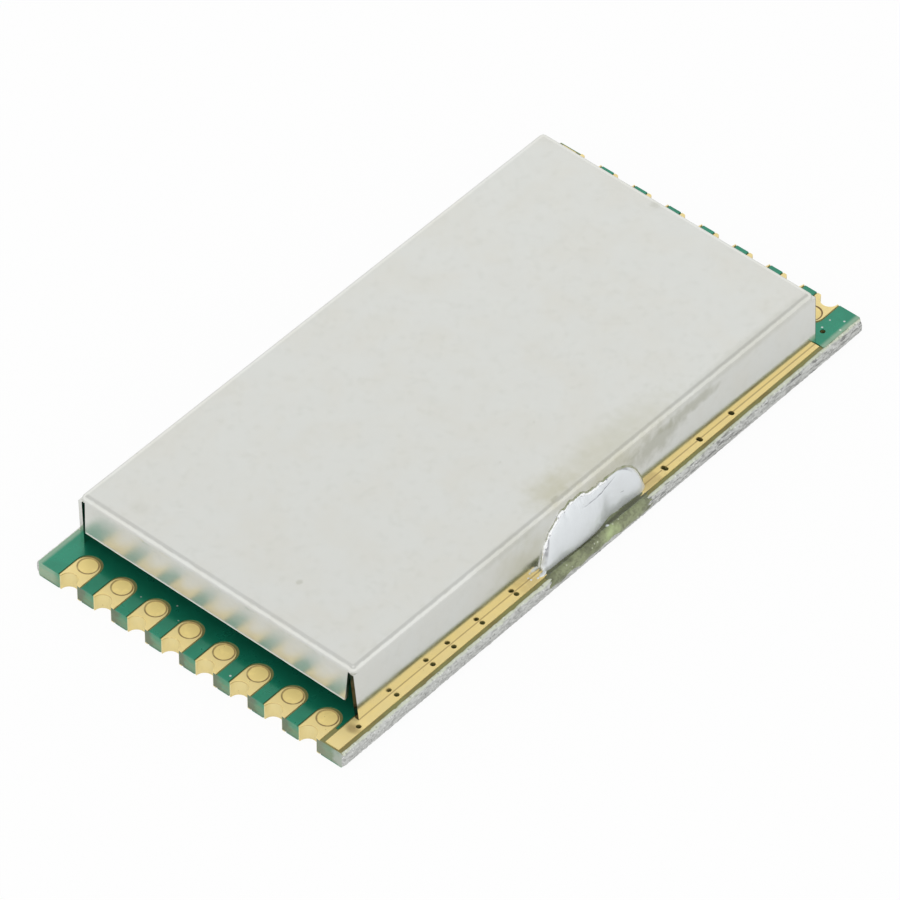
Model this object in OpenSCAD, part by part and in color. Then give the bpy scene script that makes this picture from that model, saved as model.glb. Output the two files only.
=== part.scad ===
// Surface-mount radio module: a castellated circuit board under a soldered shield can.
// Millimetres. X runs along the board, Z is up, and the origin is the middle of the underside.
// "Front" is the short edge at -X, and "near" is the long edge at -Y.

/* [Board] */
// Length of the board along X
board_length = 35.5; // [32:0.1:42]
// Thickness of the bare laminate
laminate_t = 0.8; // [0.4:0.05:1.6]
// Thickness of the solder mask, and of the copper that lies level with it
skin_t = 0.05; // [0.03:0.005:0.08]
// Radius of the board's corners
corner_r = 0.2; // [0.1:0.05:0.6]
// Width of the bevel that the scoring blade leaves along the long edges
score_width = 0.16; // [0.05:0.01:0.2]
// Depth of that bevel
score_depth = 0.2; // [0.05:0.01:0.3]

/* [Castellated pads] */
// Pads on each short edge
pads_per_end = 8; // [6:1:10]
// Distance between neighbouring pads
pad_pitch = 2; // [1.8:0.01:2.54]
// Width of a pad
pad_width = 1.2; // [1.2:0.01:1.4]
// Distance from the board's edge to the centre of the pad's plugged via
plug_inset = 1.2; // [1.1:0.01:1.5]
// Radius of the plugged via
plug_r = 0.5; // [0.3:0.01:0.52]
// Depth of the dish in the plugged via
plug_sink = 0.02; // [0.005:0.005:0.025]
// Distance that the land's round end lies back from the plugged via
land_shift = 0.08; // [0:0.01:0.1]
// Radius of the plated half-round notch
notch_r = 0.46; // [0.3:0.01:0.46]
// Distance that the notch lies to one side of the pad's middle
notch_shift = 0.09; // [0:0.01:0.09]
// Radius that the router leaves on one corner of each notch
rout_r = 0.1; // [0.05:0.01:0.15]
// Thickness of the notch's plating
plating_t = 0.05; // [0.02:0.005:0.05]
// Bare gap between copper and the solder mask round it
mask_gap = 0.075; // [0.04:0.005:0.1]

/* [Ground strips] */
// Width of a ground strip
strip_width = 0.76; // [0.6:0.01:1.2]
// Bare margin between the strip and the board's long edge
strip_margin = 0.38; // [0.35:0.01:0.48]
// Gap between the strip and the last pad of the row
pad_strip_gap = 0.26; // [0.21:0.01:0.6]
// Distance from the short edge over which the solder mask in that gap is left off
bare_gap_length = 1; // [0.5:0.05:1.2]
// Gap between the strip and the board's short edge
strip_end_gap = 0.1; // [0.05:0.01:0.3]
// Distance that the strip's other end stops short of the can's end
strip_stop = 0.3; // [0.1:0.05:1]
// Radius of the drilled vias
via_r = 0.13; // [0.1:0.01:0.15]
// Distance from the board's long edge to the row of vias
via_inset = 0.64; // [0.63:0.01:0.8]
// Distances of the single via in the near back corner from the short edge and from the long edge
corner_via = [1.8, 0.86]; // [0.5:0.01:2.2]

/* [Shield can] */
// Thickness of the can's sheet
sheet_t = 0.2; // [0.1:0.05:0.25]
// Height of the can above the board
shield_height = 3; // [2.4:0.05:5]
// Outer radius of the can's bends
bend_r = 0.3; // [0.28:0.01:0.6]
// Distance from the board's front edge to the lower edge of the front wall
front_reveal = 1.85; // [1.4:0.01:3]
// Distance from the board's back edge to the lower edge of the back wall
back_reveal = 2.35; // [1.4:0.01:3]
// Distance from the board's long edge to the foot of the near wall
near_foot_inset = 0.75; // [0.6:0.01:0.9]
// Distance from the board's long edge to the foot of the far wall
far_foot_inset = 0.87; // [0.6:0.01:0.9]
// Distance that the near wall leans out from its bend to its foot
near_flare = 0.18; // [0:0.01:0.4]
// Distance that the far wall leans out from its bend to its foot
far_flare = 0.05; // [0:0.01:0.4]
// Distance that the end walls lean out from their bends to their lower edges
end_flare = 0.12; // [0:0.01:0.2]
// Gap between the board and the two end walls
end_wall_gap = 1; // [0.5:0.05:1.5]
// Angle that the can is turned on its strips
shield_turn = -0.5; // [-1:0.1:1]
// Width of the corner slits where they start below the bends
slit_width = 0.15; // [0.05:0.01:0.3]
// Widening of the corner slits on each side, from the bend to the board
slit_taper = 0.12; // [0:0.01:0.4]

/* [Solder joints] */
// Length of a solder joint along the can's wall
joint_length = 6.9; // [3:0.1:9]
// Height of a solder joint at its peak
joint_height = 2.5; // [1:0.05:2.65]
// Reach of a solder joint from the wall's foot towards the board's edge
joint_reach = 0.34; // [0.2:0.01:0.5]

/* [Parts under the can] */
// Room kept free between the can's walls and the parts
room_clearance = 0.8; // [0.5:0.1:1.5]
// Body of the transceiver chip
transceiver_size = [6, 6, 0.85]; // [0.5:0.05:7]
// Lands along each side of the transceiver chip
transceiver_lands = 7; // [5:1:8]
// Body of the power amplifier
amplifier_size = [4, 4, 0.9]; // [0.5:0.05:5]
// Lands along each side of the power amplifier
amplifier_lands = 5; // [3:1:6]
// Body of the antenna switch
switch_size = [2, 2, 0.75]; // [0.5:0.05:2.5]
// Lands along each side of the antenna switch
switch_lands = 3; // [2:1:3]
// Width of one land under a chip
land_width = 0.28; // [0.2:0.01:0.35]
// Length of one land under a chip
land_length = 0.6; // [0.4:0.05:0.8]
// Distance that a land shows past its part
land_toe = 0.2; // [0.1:0.05:0.3]
// Radius of the round mark beside a chip's first terminal
index_r = 0.2; // [0.1:0.05:0.3]
// Depth of that mark
index_depth = 0.04; // [0.02:0.01:0.1]
// Body of the crystal
crystal_size = [3.2, 2.5, 0.75]; // [0.5:0.05:4]
// Height of the crystal's ceramic base
crystal_base = 0.35; // [0.2:0.05:0.5]
// Width of the rim round the crystal's lid
crystal_rim = 0.18; // [0.1:0.01:0.3]
// Body of the voltage regulator
regulator_size = [2.9, 1.6, 1.1]; // [0.5:0.05:4]
// Thickness of the regulator's leads
lead_t = 0.15; // [0.1:0.01:0.2]
// Width of the regulator's leads
lead_width = 0.4; // [0.3:0.05:0.5]
// Reach of the regulator's leads past its body
lead_reach = 0.6; // [0.5:0.05:0.8]
// Distance between the regulator's leads
lead_pitch = 0.95; // [0.8:0.01:1]
// Size of a chip capacitor
capacitor_size = [1.6, 0.8, 0.8]; // [0.3:0.05:2]
// Size of a chip inductor
inductor_size = [2, 1.25, 1.1]; // [0.3:0.05:2.5]
// Size of a chip resistor
resistor_size = [1.6, 0.8, 0.45]; // [0.3:0.05:2]
// Length of the metal caps on the ends of the small parts
cap_length = 0.35; // [0.15:0.05:0.5]
// Distance that those caps stand proud of the part's body
cap_proud = 0.02; // [0.01:0.005:0.05]

/* [Hidden] */
$fn = 48;
eps = 0.01;

// Board
pad_count = 2 * pads_per_end;
board_width = (pads_per_end - 1) * pad_pitch + pad_width + 2 * (pad_strip_gap + strip_width + strip_margin);
board_t = laminate_t + 2 * skin_t;
laminate_top = skin_t + laminate_t;

// Ground strips: stations of the vias, measured from the strip's outer end
via_stations = [1.6, 4.1, 6.5, 7.9, 9.8, 12.1, 22.3, 24.7, 26.9];
strip_start = -board_length / 2 + strip_end_gap;
strip_stop_x = board_length / 2 - back_reveal - strip_stop;
strip_length = strip_stop_x - strip_start;
strip_near_y = -board_width / 2 + strip_margin;

// Shield can, in its own frame: turned, with its centre on the board's middle line
shield_length = board_length - front_reveal - back_reveal - 2 * end_flare;
near_half = board_width / 2 - near_foot_inset - near_flare;
far_half = board_width / 2 - far_foot_inset - far_flare;
shield_width = near_half + far_half;
shield_centre = [(front_reveal - back_reveal) / 2, (far_half - near_half) / 2];
side_drop = shield_height - bend_r;
end_drop = side_drop - end_wall_gap;

// Solder joints: stations along the joint from its front end to its back end, each with the share
// of the peak height and the share of the reach that the joint has there
joint_shape = [
    [0, 0.02, 0.4], [0.02, 0.22, 0.8], [0.05, 0.45, 0.9], [0.1, 0.66, 0.9], [0.2, 0.91, 0.85], [0.38, 1, 1],
    [0.48, 0.87, 1], [0.65, 0.84, 0.6], [0.78, 0.82, 0.5], [0.87, 0.72, 0.6], [0.95, 0.5, 0.7],
    [0.985, 0.3, 0.6], [1, 0.02, 0.3]
];
joint_bulge = 0.75;
joint_steps = 6;

// Parts under the can: places as shares of half the room, and quarter turns
room = [shield_length, shield_width] - 2 * (sheet_t + room_clearance) * [1, 1];
transceiver_spot = [-0.36, 0.16, 0];
crystal_spot = [-0.76, 0.42, 1];
amplifier_spot = [0.34, -0.04, 0];
switch_spot = [0.84, 0.2, 0];
regulator_spot = [-0.76, -0.5, 0];
capacitor_spots = [[-0.6, -0.84, 0], [-0.44, -0.6, 1], [-0.3, -0.6, 1], [-0.16, -0.6, 1], [-0.36, 0.84, 0],
                   [-0.6, 0.84, 0], [0.16, -0.72, 0], [0.34, -0.72, 0], [0.52, -0.72, 0], [0.84, -0.3, 0]];
inductor_spots = [[0.02, 0.5, 1], [0.02, -0.02, 1], [0.34, 0.62, 0], [0.58, 0.3, 1], [0.64, -0.2, 0],
                  [0.84, 0.72, 0]];
resistor_spots = [[-0.14, 0.84, 0], [0.06, 0.84, 0], [-0.9, 0, 1], [0.64, 0.84, 0]];

function numbered(name, count) = [for (i = [1 : count]) str(name, "_", i)];

laminate_colour = "#8f9160";
mask_colour = "#1f8a66";
gold_colour = "#e6cb83";
tin_colour = "#d8d8d2";
solder_colour = "#cdd2da";
package_colour = "#24262a";
ceramic_colour = "#a58660";
coil_colour = "#4c4a48";

// Placing helpers

module half_turn_copies() {
    for (angle = [0, 180]) rotate(angle) children();
}

// Pads count along the front edge from the far side, then along the back edge the same way round
module at_pad(index) {
    row = floor((index - 1) / pads_per_end);
    step = (index - 1) % pads_per_end;
    rotate(180 * row)
        translate([-board_length / 2, ((pads_per_end - 1) / 2 - step) * pad_pitch])
            children();
}

module at_all_pads() {
    for (index = [1 : pad_count]) at_pad(index) children();
}

module at_spot(spot) {
    translate([shield_centre.x + spot.x * room.x / 2, shield_centre.y + spot.y * room.y / 2])
        rotate(90 * spot.z)
            children();
}

module on_can() {
    translate(shield_centre) rotate(shield_turn) translate([0, 0, board_t]) children();
}

// Board

module board_outline() {
    square([board_length - 2 * corner_r, board_width], center = true);
    square([board_length, board_width - 2 * corner_r], center = true);
    for (x = [-1, 1], y = [-1, 1])
        translate([x * (board_length / 2 - corner_r), y * (board_width / 2 - corner_r)])
            circle(corner_r);
}

module via_drills() {
    half_turn_copies()
        for (station = via_stations)
            if (station < strip_length - 2 * via_r)
                translate([strip_start + station, -board_width / 2 + via_inset]) circle(via_r);
    translate([board_length / 2 - corner_via.x, -board_width / 2 + corner_via.y]) circle(via_r);
}

// Section across the board: both faces are narrower than the middle by the score's bevel
module scored_section() {
    half = board_width / 2;
    polygon([
        [-half + score_width, skin_t], [half - score_width, skin_t],
        [half, skin_t + score_depth], [half, laminate_top - score_depth],
        [half - score_width, laminate_top], [-half + score_width, laminate_top],
        [-half, laminate_top - score_depth], [-half, skin_t + score_depth]
    ]);
}

module board() {
    color(laminate_colour)
        intersection() {
            rotate([90, 0, 90])
                linear_extrude(board_length, center = true) scored_section();
            linear_extrude(board_t)
                difference() {
                    board_outline();
                    at_all_pads() {
                        at_notch() {
                            circle(notch_r + plating_t);
                            rout_cut();
                        }
                        translate([plug_inset, 0]) circle(plug_r);
                    }
                    via_drills();
                }
        }
}

// Solder mask

module mask_sheet() {
    difference() {
        intersection() {
            board_outline();
            square([board_length, board_width - 2 * score_width], center = true);
        }
        at_all_pads() pad_outline(plug_inset, mask_gap);
        via_drills();
    }
}

module strip_opening() {
    strip_inner = strip_margin + strip_width;
    translate([-board_length / 2 - eps, -board_width / 2 - eps]) {
        square([strip_stop_x + mask_gap + board_length / 2 + eps, strip_inner + mask_gap + eps]);
        square([bare_gap_length + eps, strip_inner + pad_strip_gap + eps]);
    }
}

module solder_mask_top() {
    color(mask_colour)
        translate([0, 0, laminate_top])
            linear_extrude(skin_t)
                difference() {
                    mask_sheet();
                    half_turn_copies() strip_opening();
                    all_lands();
                }
}

module solder_mask_bottom() {
    color(mask_colour) linear_extrude(skin_t) mask_sheet();
}

// Castellated pads, drawn from the middle of their notch inwards along X

module pad_outline(inset, grow) {
    translate([-grow, -pad_width / 2 - grow])
        square([inset + grow, pad_width + 2 * grow]);
    translate([inset, 0]) circle(pad_width / 2 + grow);
}

module at_notch() {
    translate([0, notch_shift]) children();
}

// The corner where the router ran out of the notch is round, through copper and laminate alike
module rout_cut() {
    translate([-eps, -notch_r - rout_r])
        difference() {
            square([rout_r + eps, 2 * rout_r]);
            translate([rout_r + eps, 0]) circle(rout_r);
        }
}

module pad_land() {
    linear_extrude(skin_t)
        difference() {
            pad_outline(plug_inset - land_shift, 0);
            at_notch() circle(notch_r);
        }
}

module notch_plating() {
    linear_extrude(board_t)
        intersection() {
            at_notch()
                difference() {
                    circle(notch_r + plating_t);
                    circle(notch_r);
                }
            translate([0, -pad_width / 2]) square([pad_width, pad_width]);
        }
}

module castellated_pad(index) {
    color(gold_colour)
        at_pad(index)
            difference() {
                union() {
                    pad_land();
                    translate([0, 0, laminate_top]) pad_land();
                    notch_plating();
                    translate([plug_inset, 0]) cylinder(h = board_t, r = plug_r);
                }
                translate([plug_inset, 0, board_t - plug_sink]) cylinder(h = skin_t, r = plug_r);
                translate([0, 0, -eps]) linear_extrude(board_t + 2 * eps) at_notch() rout_cut();
            }
}

// Ground strips

module ground_strip() {
    color(gold_colour)
        translate([0, 0, laminate_top])
            linear_extrude(skin_t)
                difference() {
                    translate([strip_start, strip_near_y]) square([strip_length, strip_width]);
                    via_drills();
                }
}

module ground_strip_near() {
    ground_strip();
}

module ground_strip_far() {
    rotate(180) ground_strip();
}

// Shield can. A wall's own frame has X outwards, Y along the wall and its origin on the bend's axis.

// Angle of a wall whose lower edge stands out by the flare, tangent to its bend
function flare_angle(flare, drop) =
    acos(bend_r / norm([bend_r + flare, drop])) - atan2(drop, bend_r + flare);
near_angle = flare_angle(near_flare, side_drop);
far_angle = flare_angle(far_flare, side_drop);
end_angle = flare_angle(end_flare, end_drop);

module at_wall(direction, half_span) {
    rotate(direction) translate([half_span - bend_r, 0, side_drop]) children();
}

module bend(angle, run) {
    far = 2 * bend_r;
    rotate([90, 0, 0])
        linear_extrude(run, center = true)
            intersection() {
                difference() {
                    circle(bend_r);
                    circle(bend_r - sheet_t);
                }
                polygon([[0, 0], far * [cos(angle), sin(angle)], [far, far], [0, far]]);
            }
}

// A flat panel hung from the bend, narrower towards its foot, with the foot cut level
module wall_panel(angle, run, drop) {
    hang = drop + sheet_t;
    narrowing = slit_taper * hang / side_drop;
    intersection() {
        rotate([0, -angle, 0])
            translate([bend_r - sheet_t, 0, 0])
                rotate([90, 0, 90])
                    linear_extrude(sheet_t)
                        polygon([
                            [-run / 2, 0], [run / 2, 0],
                            [run / 2 - narrowing, -hang], [-run / 2 + narrowing, -hang]
                        ]);
        translate([-bend_r, -run, -drop]) cube([side_drop, 2 * run, 2 * drop]);
    }
}

module shield_wall(direction, half_span, angle, bend_run, panel_run, drop) {
    at_wall(direction, half_span) {
        bend(angle, bend_run);
        wall_panel(angle, panel_run, drop);
    }
}

// The corners of the top are pressed round where two bends meet
module shield_corner() {
    intersection() {
        difference() {
            sphere(bend_r);
            sphere(bend_r - sheet_t);
        }
        cube(bend_r);
    }
}

module shield_can() {
    flat_length = shield_length - 2 * bend_r;
    flat_width = shield_width - 2 * bend_r;
    side_run = shield_length + 2 * end_flare - slit_width;
    end_run = shield_width - 2 * (sheet_t + slit_width);
    color(tin_colour)
        on_can() {
            translate([-flat_length / 2, -flat_width / 2, shield_height - sheet_t])
                cube([flat_length, flat_width, sheet_t]);
            shield_wall(-90, shield_width / 2, near_angle, flat_length, side_run, side_drop);
            shield_wall(90, shield_width / 2, far_angle, flat_length, side_run, side_drop);
            for (direction = [0, 180])
                shield_wall(direction, shield_length / 2, end_angle, flat_width, end_run, end_drop);
            for (x = [0, 1], y = [0, 1])
                mirror([x, 0, 0])
                    mirror([0, y, 0])
                        translate([flat_length / 2, flat_width / 2, side_drop])
                            shield_corner();
        }
}

// Solder joints: a fillet swept along the wall, with its back on the wall and its foot on the strip

function wall_out(z, angle) =
    bend_r * cos(angle) + (side_drop + bend_r * sin(angle) - z) * tan(angle) - bend_r;

function joint_section(height, reach, angle) =
    let (
        foot = [wall_out(0, angle) + reach, 0],
        top = [wall_out(height, angle), height],
        swell = [wall_out(0, angle) + reach, joint_bulge * height]
    )
    concat(
        [[wall_out(0, angle), 0]],
        [for (i = [0 : joint_steps])
            let (s = i / joint_steps) (1 - s) * (1 - s) * foot + 2 * s * (1 - s) * swell + s * s * top]
    );

module solder_joint(angle) {
    ring = joint_steps + 2;
    stations = len(joint_shape);
    points = [
        for (station = joint_shape)
            for (p = joint_section(joint_height * station[1], joint_reach * station[2], angle))
                [p.x, (station[0] - 0.5) * joint_length, p.y]
    ];
    sides = [
        for (i = [0 : stations - 2], j = [0 : ring - 1])
            let (k = (j + 1) % ring)
            [i * ring + j, i * ring + k, (i + 1) * ring + k, (i + 1) * ring + j]
    ];
    first_end = [for (j = [ring - 1 : -1 : 0]) j];
    last_end = [for (j = [0 : ring - 1]) (stations - 1) * ring + j];
    polyhedron(points, concat(sides, [first_end, last_end]));
}

module solder_joint_near() {
    color(solder_colour)
        on_can() rotate(-90) translate([shield_width / 2, 0]) solder_joint(near_angle);
}

module solder_joint_far() {
    color(solder_colour)
        on_can() rotate(90) translate([shield_width / 2, 0]) solder_joint(far_angle);
}

// Lands under the parts

module end_lands(size) {
    for (side = [-1, 1])
        translate([side * (size.x / 2 + land_toe / 2 - cap_length / 2), 0])
            square([cap_length + land_toe, size.y], center = true);
}

module package_lands(size, count) {
    pitch = (size.x - 2 * land_length) / (count - 1) - land_width / (count - 1);
    belly = size.x - 2 * (land_length + land_toe);
    square(belly, center = true);
    for (turn = [0 : 3], i = [0 : count - 1])
        rotate(90 * turn)
            translate([size.x / 2 + land_toe - land_length / 2, (i - (count - 1) / 2) * pitch])
                square([land_length, land_width], center = true);
}

module crystal_lands() {
    land = [crystal_size.x / 3, crystal_size.y / 3];
    for (x = [-1, 1], y = [-1, 1])
        translate([x * (crystal_size.x / 2 - land.x / 3), y * (crystal_size.y / 2 - land.y / 3)])
            square(land, center = true);
}

// Three leads on one side and two on the other
module at_leads() {
    for (i = [-1, 0, 1]) translate([i * lead_pitch, regulator_size.y / 2]) children();
    for (i = [-1, 1]) translate([i * lead_pitch, -regulator_size.y / 2]) rotate(180) children();
}

module regulator_lands() {
    at_leads()
        translate([-lead_width / 2, lead_reach / 2])
            square([lead_width, lead_reach / 2 + land_toe]);
}

module all_lands() {
    at_spot(transceiver_spot) package_lands(transceiver_size, transceiver_lands);
    at_spot(amplifier_spot) package_lands(amplifier_size, amplifier_lands);
    at_spot(switch_spot) package_lands(switch_size, switch_lands);
    at_spot(crystal_spot) crystal_lands();
    at_spot(regulator_spot) regulator_lands();
    for (spot = capacitor_spots) at_spot(spot) end_lands(capacitor_size);
    for (spot = inductor_spots) at_spot(spot) end_lands(inductor_size);
    for (spot = resistor_spots) at_spot(spot) end_lands(resistor_size);
}

module component_lands() {
    color(tin_colour)
        translate([0, 0, laminate_top])
            linear_extrude(skin_t) all_lands();
}

// Parts under the can

module on_board(spot) {
    translate([0, 0, board_t]) at_spot(spot) children();
}

module block(size) {
    translate([-size.x / 2, -size.y / 2]) cube(size);
}

module flat_package(size) {
    color(package_colour)
        difference() {
            block(size);
            translate([-size.x / 2 + 2 * index_r, size.y / 2 - 2 * index_r, size.z - index_depth])
                cylinder(h = 2 * index_depth, r = index_r);
        }
}

module transceiver_chip() {
    on_board(transceiver_spot) flat_package(transceiver_size);
}

module power_amplifier() {
    on_board(amplifier_spot) flat_package(amplifier_size);
}

module antenna_switch() {
    on_board(switch_spot) flat_package(switch_size);
}

module crystal() {
    color(tin_colour)
        on_board(crystal_spot) {
            block([crystal_size.x, crystal_size.y, crystal_base]);
            block([crystal_size.x - 2 * crystal_rim, crystal_size.y - 2 * crystal_rim, crystal_size.z]);
        }
}

// A lead leaves the body at half its height, drops to the board and ends in a flat foot
module gull_lead() {
    shoulder = lead_reach / 2;
    exit_z = regulator_size.z / 2;
    rotate([90, 0, 90])
        linear_extrude(lead_width, center = true) {
            translate([-lead_t, exit_z]) square([shoulder + lead_t, lead_t]);
            translate([shoulder - lead_t, 0]) square([lead_t, exit_z + lead_t]);
            translate([shoulder - lead_t, 0]) square([lead_reach - shoulder + lead_t, lead_t]);
        }
}

module voltage_regulator() {
    color(package_colour)
        on_board(regulator_spot) {
            translate([0, 0, lead_t]) block(regulator_size - [0, 0, lead_t]);
            at_leads() gull_lead();
        }
}

// A small two-ended part: a body between two metal caps
module end_capped_part(size, colour) {
    color(colour) {
        translate([0, 0, cap_proud])
            block([size.x - 2 * cap_length + 2 * cap_proud, size.y - 2 * cap_proud, size.z - 2 * cap_proud]);
        for (side = [-1, 1])
            translate([side * (size.x - cap_length) / 2, 0]) block([cap_length, size.y, size.z]);
    }
}

module capacitor(index) {
    on_board(capacitor_spots[index - 1]) end_capped_part(capacitor_size, ceramic_colour);
}

module inductor(index) {
    on_board(inductor_spots[index - 1]) end_capped_part(inductor_size, coil_colour);
}

module resistor(index) {
    on_board(resistor_spots[index - 1]) end_capped_part(resistor_size, package_colour);
}

board();
solder_mask_top();
solder_mask_bottom();
for (i = [1 : pad_count])
    castellated_pad(i);
ground_strip_near();
ground_strip_far();
shield_can();
solder_joint_near();
solder_joint_far();
component_lands();
transceiver_chip();
crystal();
power_amplifier();
antenna_switch();
voltage_regulator();
for (i = [1 : len(capacitor_spots)])
    capacitor(i);
for (i = [1 : len(inductor_spots)])
    inductor(i);
for (i = [1 : len(resistor_spots)])
    resistor(i);
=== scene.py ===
"""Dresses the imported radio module: finishes for every solid, solder, cut edges and a studio stage."""

import math

import bmesh
import bpy
import numpy as np
from bpy.props import FloatProperty, FloatVectorProperty, IntProperty, PointerProperty
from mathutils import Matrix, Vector, noise


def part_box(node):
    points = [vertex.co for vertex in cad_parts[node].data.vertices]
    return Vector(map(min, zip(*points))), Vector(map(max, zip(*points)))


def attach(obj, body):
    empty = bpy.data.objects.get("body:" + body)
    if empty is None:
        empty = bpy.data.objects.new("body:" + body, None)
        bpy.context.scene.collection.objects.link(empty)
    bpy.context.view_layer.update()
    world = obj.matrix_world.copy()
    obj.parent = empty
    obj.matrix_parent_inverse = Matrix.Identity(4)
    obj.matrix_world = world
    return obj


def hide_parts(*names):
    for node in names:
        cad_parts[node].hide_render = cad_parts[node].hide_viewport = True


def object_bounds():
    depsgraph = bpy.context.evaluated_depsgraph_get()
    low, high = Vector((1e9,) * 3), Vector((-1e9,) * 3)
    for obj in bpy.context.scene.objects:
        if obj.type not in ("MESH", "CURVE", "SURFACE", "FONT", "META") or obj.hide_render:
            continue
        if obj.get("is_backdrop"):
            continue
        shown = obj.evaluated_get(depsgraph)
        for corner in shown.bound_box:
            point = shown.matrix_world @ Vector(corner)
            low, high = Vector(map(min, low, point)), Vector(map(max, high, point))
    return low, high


bl_info = {
    "name": "Radio module dressing",
    "version": (1, 0, 0),
    "blender": (4, 5, 0),
    "location": "View3D > Sidebar > Radio module",
    "description": "Finishes, solder, cut edges and stage for a shielded radio module",
    "category": "Object",
}

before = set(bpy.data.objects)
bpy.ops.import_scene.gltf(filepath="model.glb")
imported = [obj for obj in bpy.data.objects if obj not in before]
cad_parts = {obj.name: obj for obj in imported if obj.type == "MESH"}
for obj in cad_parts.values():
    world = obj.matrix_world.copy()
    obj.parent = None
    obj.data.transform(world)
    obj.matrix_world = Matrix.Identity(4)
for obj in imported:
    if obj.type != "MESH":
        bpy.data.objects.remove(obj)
cad_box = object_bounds()

MM = 0.001
BODY = "root"
SIDES = {"near": -1, "far": 1}


def numbered(stem):
    """The CAD nodes whose names start with a stem."""
    return [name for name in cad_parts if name.startswith(stem)]


# Places and sizes of the solids, in millimetres
BOARD_LOW, BOARD_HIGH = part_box("board")
HALF_LENGTH = BOARD_HIGH.x / MM
HALF_WIDTH = BOARD_HIGH.y / MM
BOARD_UNDER = BOARD_LOW.z / MM
BOARD_FACE = BOARD_HIGH.z / MM
PADS = numbered("castellated_pad")
PAD_PITCH = (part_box("castellated_pad_1")[0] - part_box("castellated_pad_2")[0]).length / MM
PAD_ROW = len(PADS) / 2 * PAD_PITCH
LAND_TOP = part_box("castellated_pad_1")[1].z / MM
PLUG_INSET = 1.2
PLUG_RADIUS = 0.5
CORNER_TOOTH = 1.4
SAME_LEVEL = 0.01

# Soft borders of tones, in millimetres: where each one starts and where it is full
PALE_MASK_EDGE = HALF_WIDTH - 0.42, HALF_WIDTH - 0.22
CUT_SIDE = HALF_WIDTH - 0.14, HALF_WIDTH - 0.10
CUT_END = HALF_LENGTH - 0.05, HALF_LENGTH - 0.01
CUT_GREEN = 0.45, 0.75
CUT_FOOT = 0.16, 0.06
TORN_BESIDE_NOTCH = -0.08, 0.36
TOOTH = HALF_WIDTH - CORNER_TOOTH
FAR_TOOTH = TOOTH, TOOTH + 0.5
NEAR_TOOTH = 0.3 - TOOTH, -TOOTH
NEAR_CORNER = HALF_WIDTH - 0.8, HALF_WIDTH - 0.2
TORN_STRANDS = -6.0, 3.0
PALE_FIBRE = 0.76, 0.84
# Painted shade: gold painted darker below the lands' top, down the notches
NOTCH_SHADE = LAND_TOP - 0.04, LAND_TOP - 0.12
WORN_DISC = PLUG_RADIUS, PLUG_RADIUS - 0.04
# Painted contact shadow: a dark line along the foot of the can's walls
FOOT_SHADE_LINE = 0.035, 0.015
# Painted sheen: the long walls painted brighter near the foot
FOOT_SHEEN = 0.80, 0.45
BEND_START = 0.01, 0.06
BEND_END = 0.42, 0.30
# The same for a chip's caps, as shares of its length, and for the sky, as heights of a direction
CHIP_CAPS = 0.29, 0.30
SKY_RING = 0.62, 0.84
SKY_ZENITH = 0.90, 0.97
# Spans along a joint or down a cut edge, as shares: start, full, fade and end
LIP_SPAN = 0.0, 0.12, 0.88, 1.0
RAGGED_SPAN = 0.03, 0.15, 0.55, 0.75
CALM_SPAN = 0.0, 0.2, 0.85, 1.0
BEAD_SPAN = 0.0, 0.06, 0.60, 0.75
FACE_SPAN = 0.0, 0.06, 0.94, 1.0
CREASE_SPAN = -0.05, 0.1, 0.9, 1.05
HALO_SPAN = 0.0, 0.03, 0.985, 1.0
FIBRE_SPAN = 0.03, 0.09, 0.92, 0.99

# Patches of another colour: centre, reach, raggedness, softness and share
HEAT_TINTS = (
    ((1.6, -7.5, 3.8), (6.4, 2.0, 1.2), 0.35, 1.0, 0.30),
    ((-2.0, -7.3, 3.85), (1.9, 1.5, 1.0), 0.35, 1.0, 0.34),
    ((0.8, -8.2, 3.2), (3.8, 0.6, 1.2), 0.4, 1.0, 0.36),
    ((-4.8, -8.2, 2.0), (3.2, 0.6, 2.4), 0.4, 1.0, 0.40),
)
SMUDGES = (
    ((-2.2, -7.7, 3.9), (0.35, 0.12, 0.2), 0.9, 0.7, 0.45),
    ((-13.4, -2.65, 3.9), (0.25, 0.18, 0.2), 0.8, 0.7, 0.30),
    ((6.6, -8.15, 3.2), (2.5, 0.5, 0.45), 0.6, 0.7, 0.55),
    ((4.2, -8.15, 2.8), (2.3, 0.5, 1.0), 0.7, 0.7, 0.55),
    ((14.9, 0.9, 3.9), (0.35, 0.30, 0.3), 0.6, 0.7, 0.22),
    ((10.5, -7.95, 3.7), (9.0, 0.5, 0.4), 0.4, 0.7, 0.26),
    ((-5.6, -7.95, 3.7), (3.2, 0.5, 0.4), 0.4, 0.7, 0.24),
    ((-14.6, 5.6, 3.9), (0.5, 0.8, 0.3), 0.8, 0.7, 0.10),
)
GOLD_SHADOW_AND_STAIN = (
    # Painted shadow of the can's front end on the near strip; the two patches after it are stains
    ((-16.3, -8.25, 0.9), (0.36, 0.6, 0.3), 0.4, 0.9, 0.50),
    ((3.6, -8.4, 0.9), (1.1, 0.4, 0.3), 0.9, 0.8, 0.30),
    ((-4.6, -8.4, 0.9), (1.0, 0.4, 0.3), 0.9, 0.8, 0.22),
)
THIN_FLUX = (((0.1, -8.9, 0.65), (0.9, 0.3, 0.4), 0.6, 0.6, 0.90),)
# Painted shadow below the joint, over thick flux
FLUX_POOL_AND_SHADOW = (((1.4, -8.6, 0.9), (1.3, 0.22, 0.3), 0.6, 0.6, 0.80),)

# The crease across a solder joint, from places along the wall and up it, measured from its middle
CREASE_START = (-0.85, 1.99)
CREASE_END = (1.62, 2.02)
CREASE_SAG = 0.22
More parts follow.
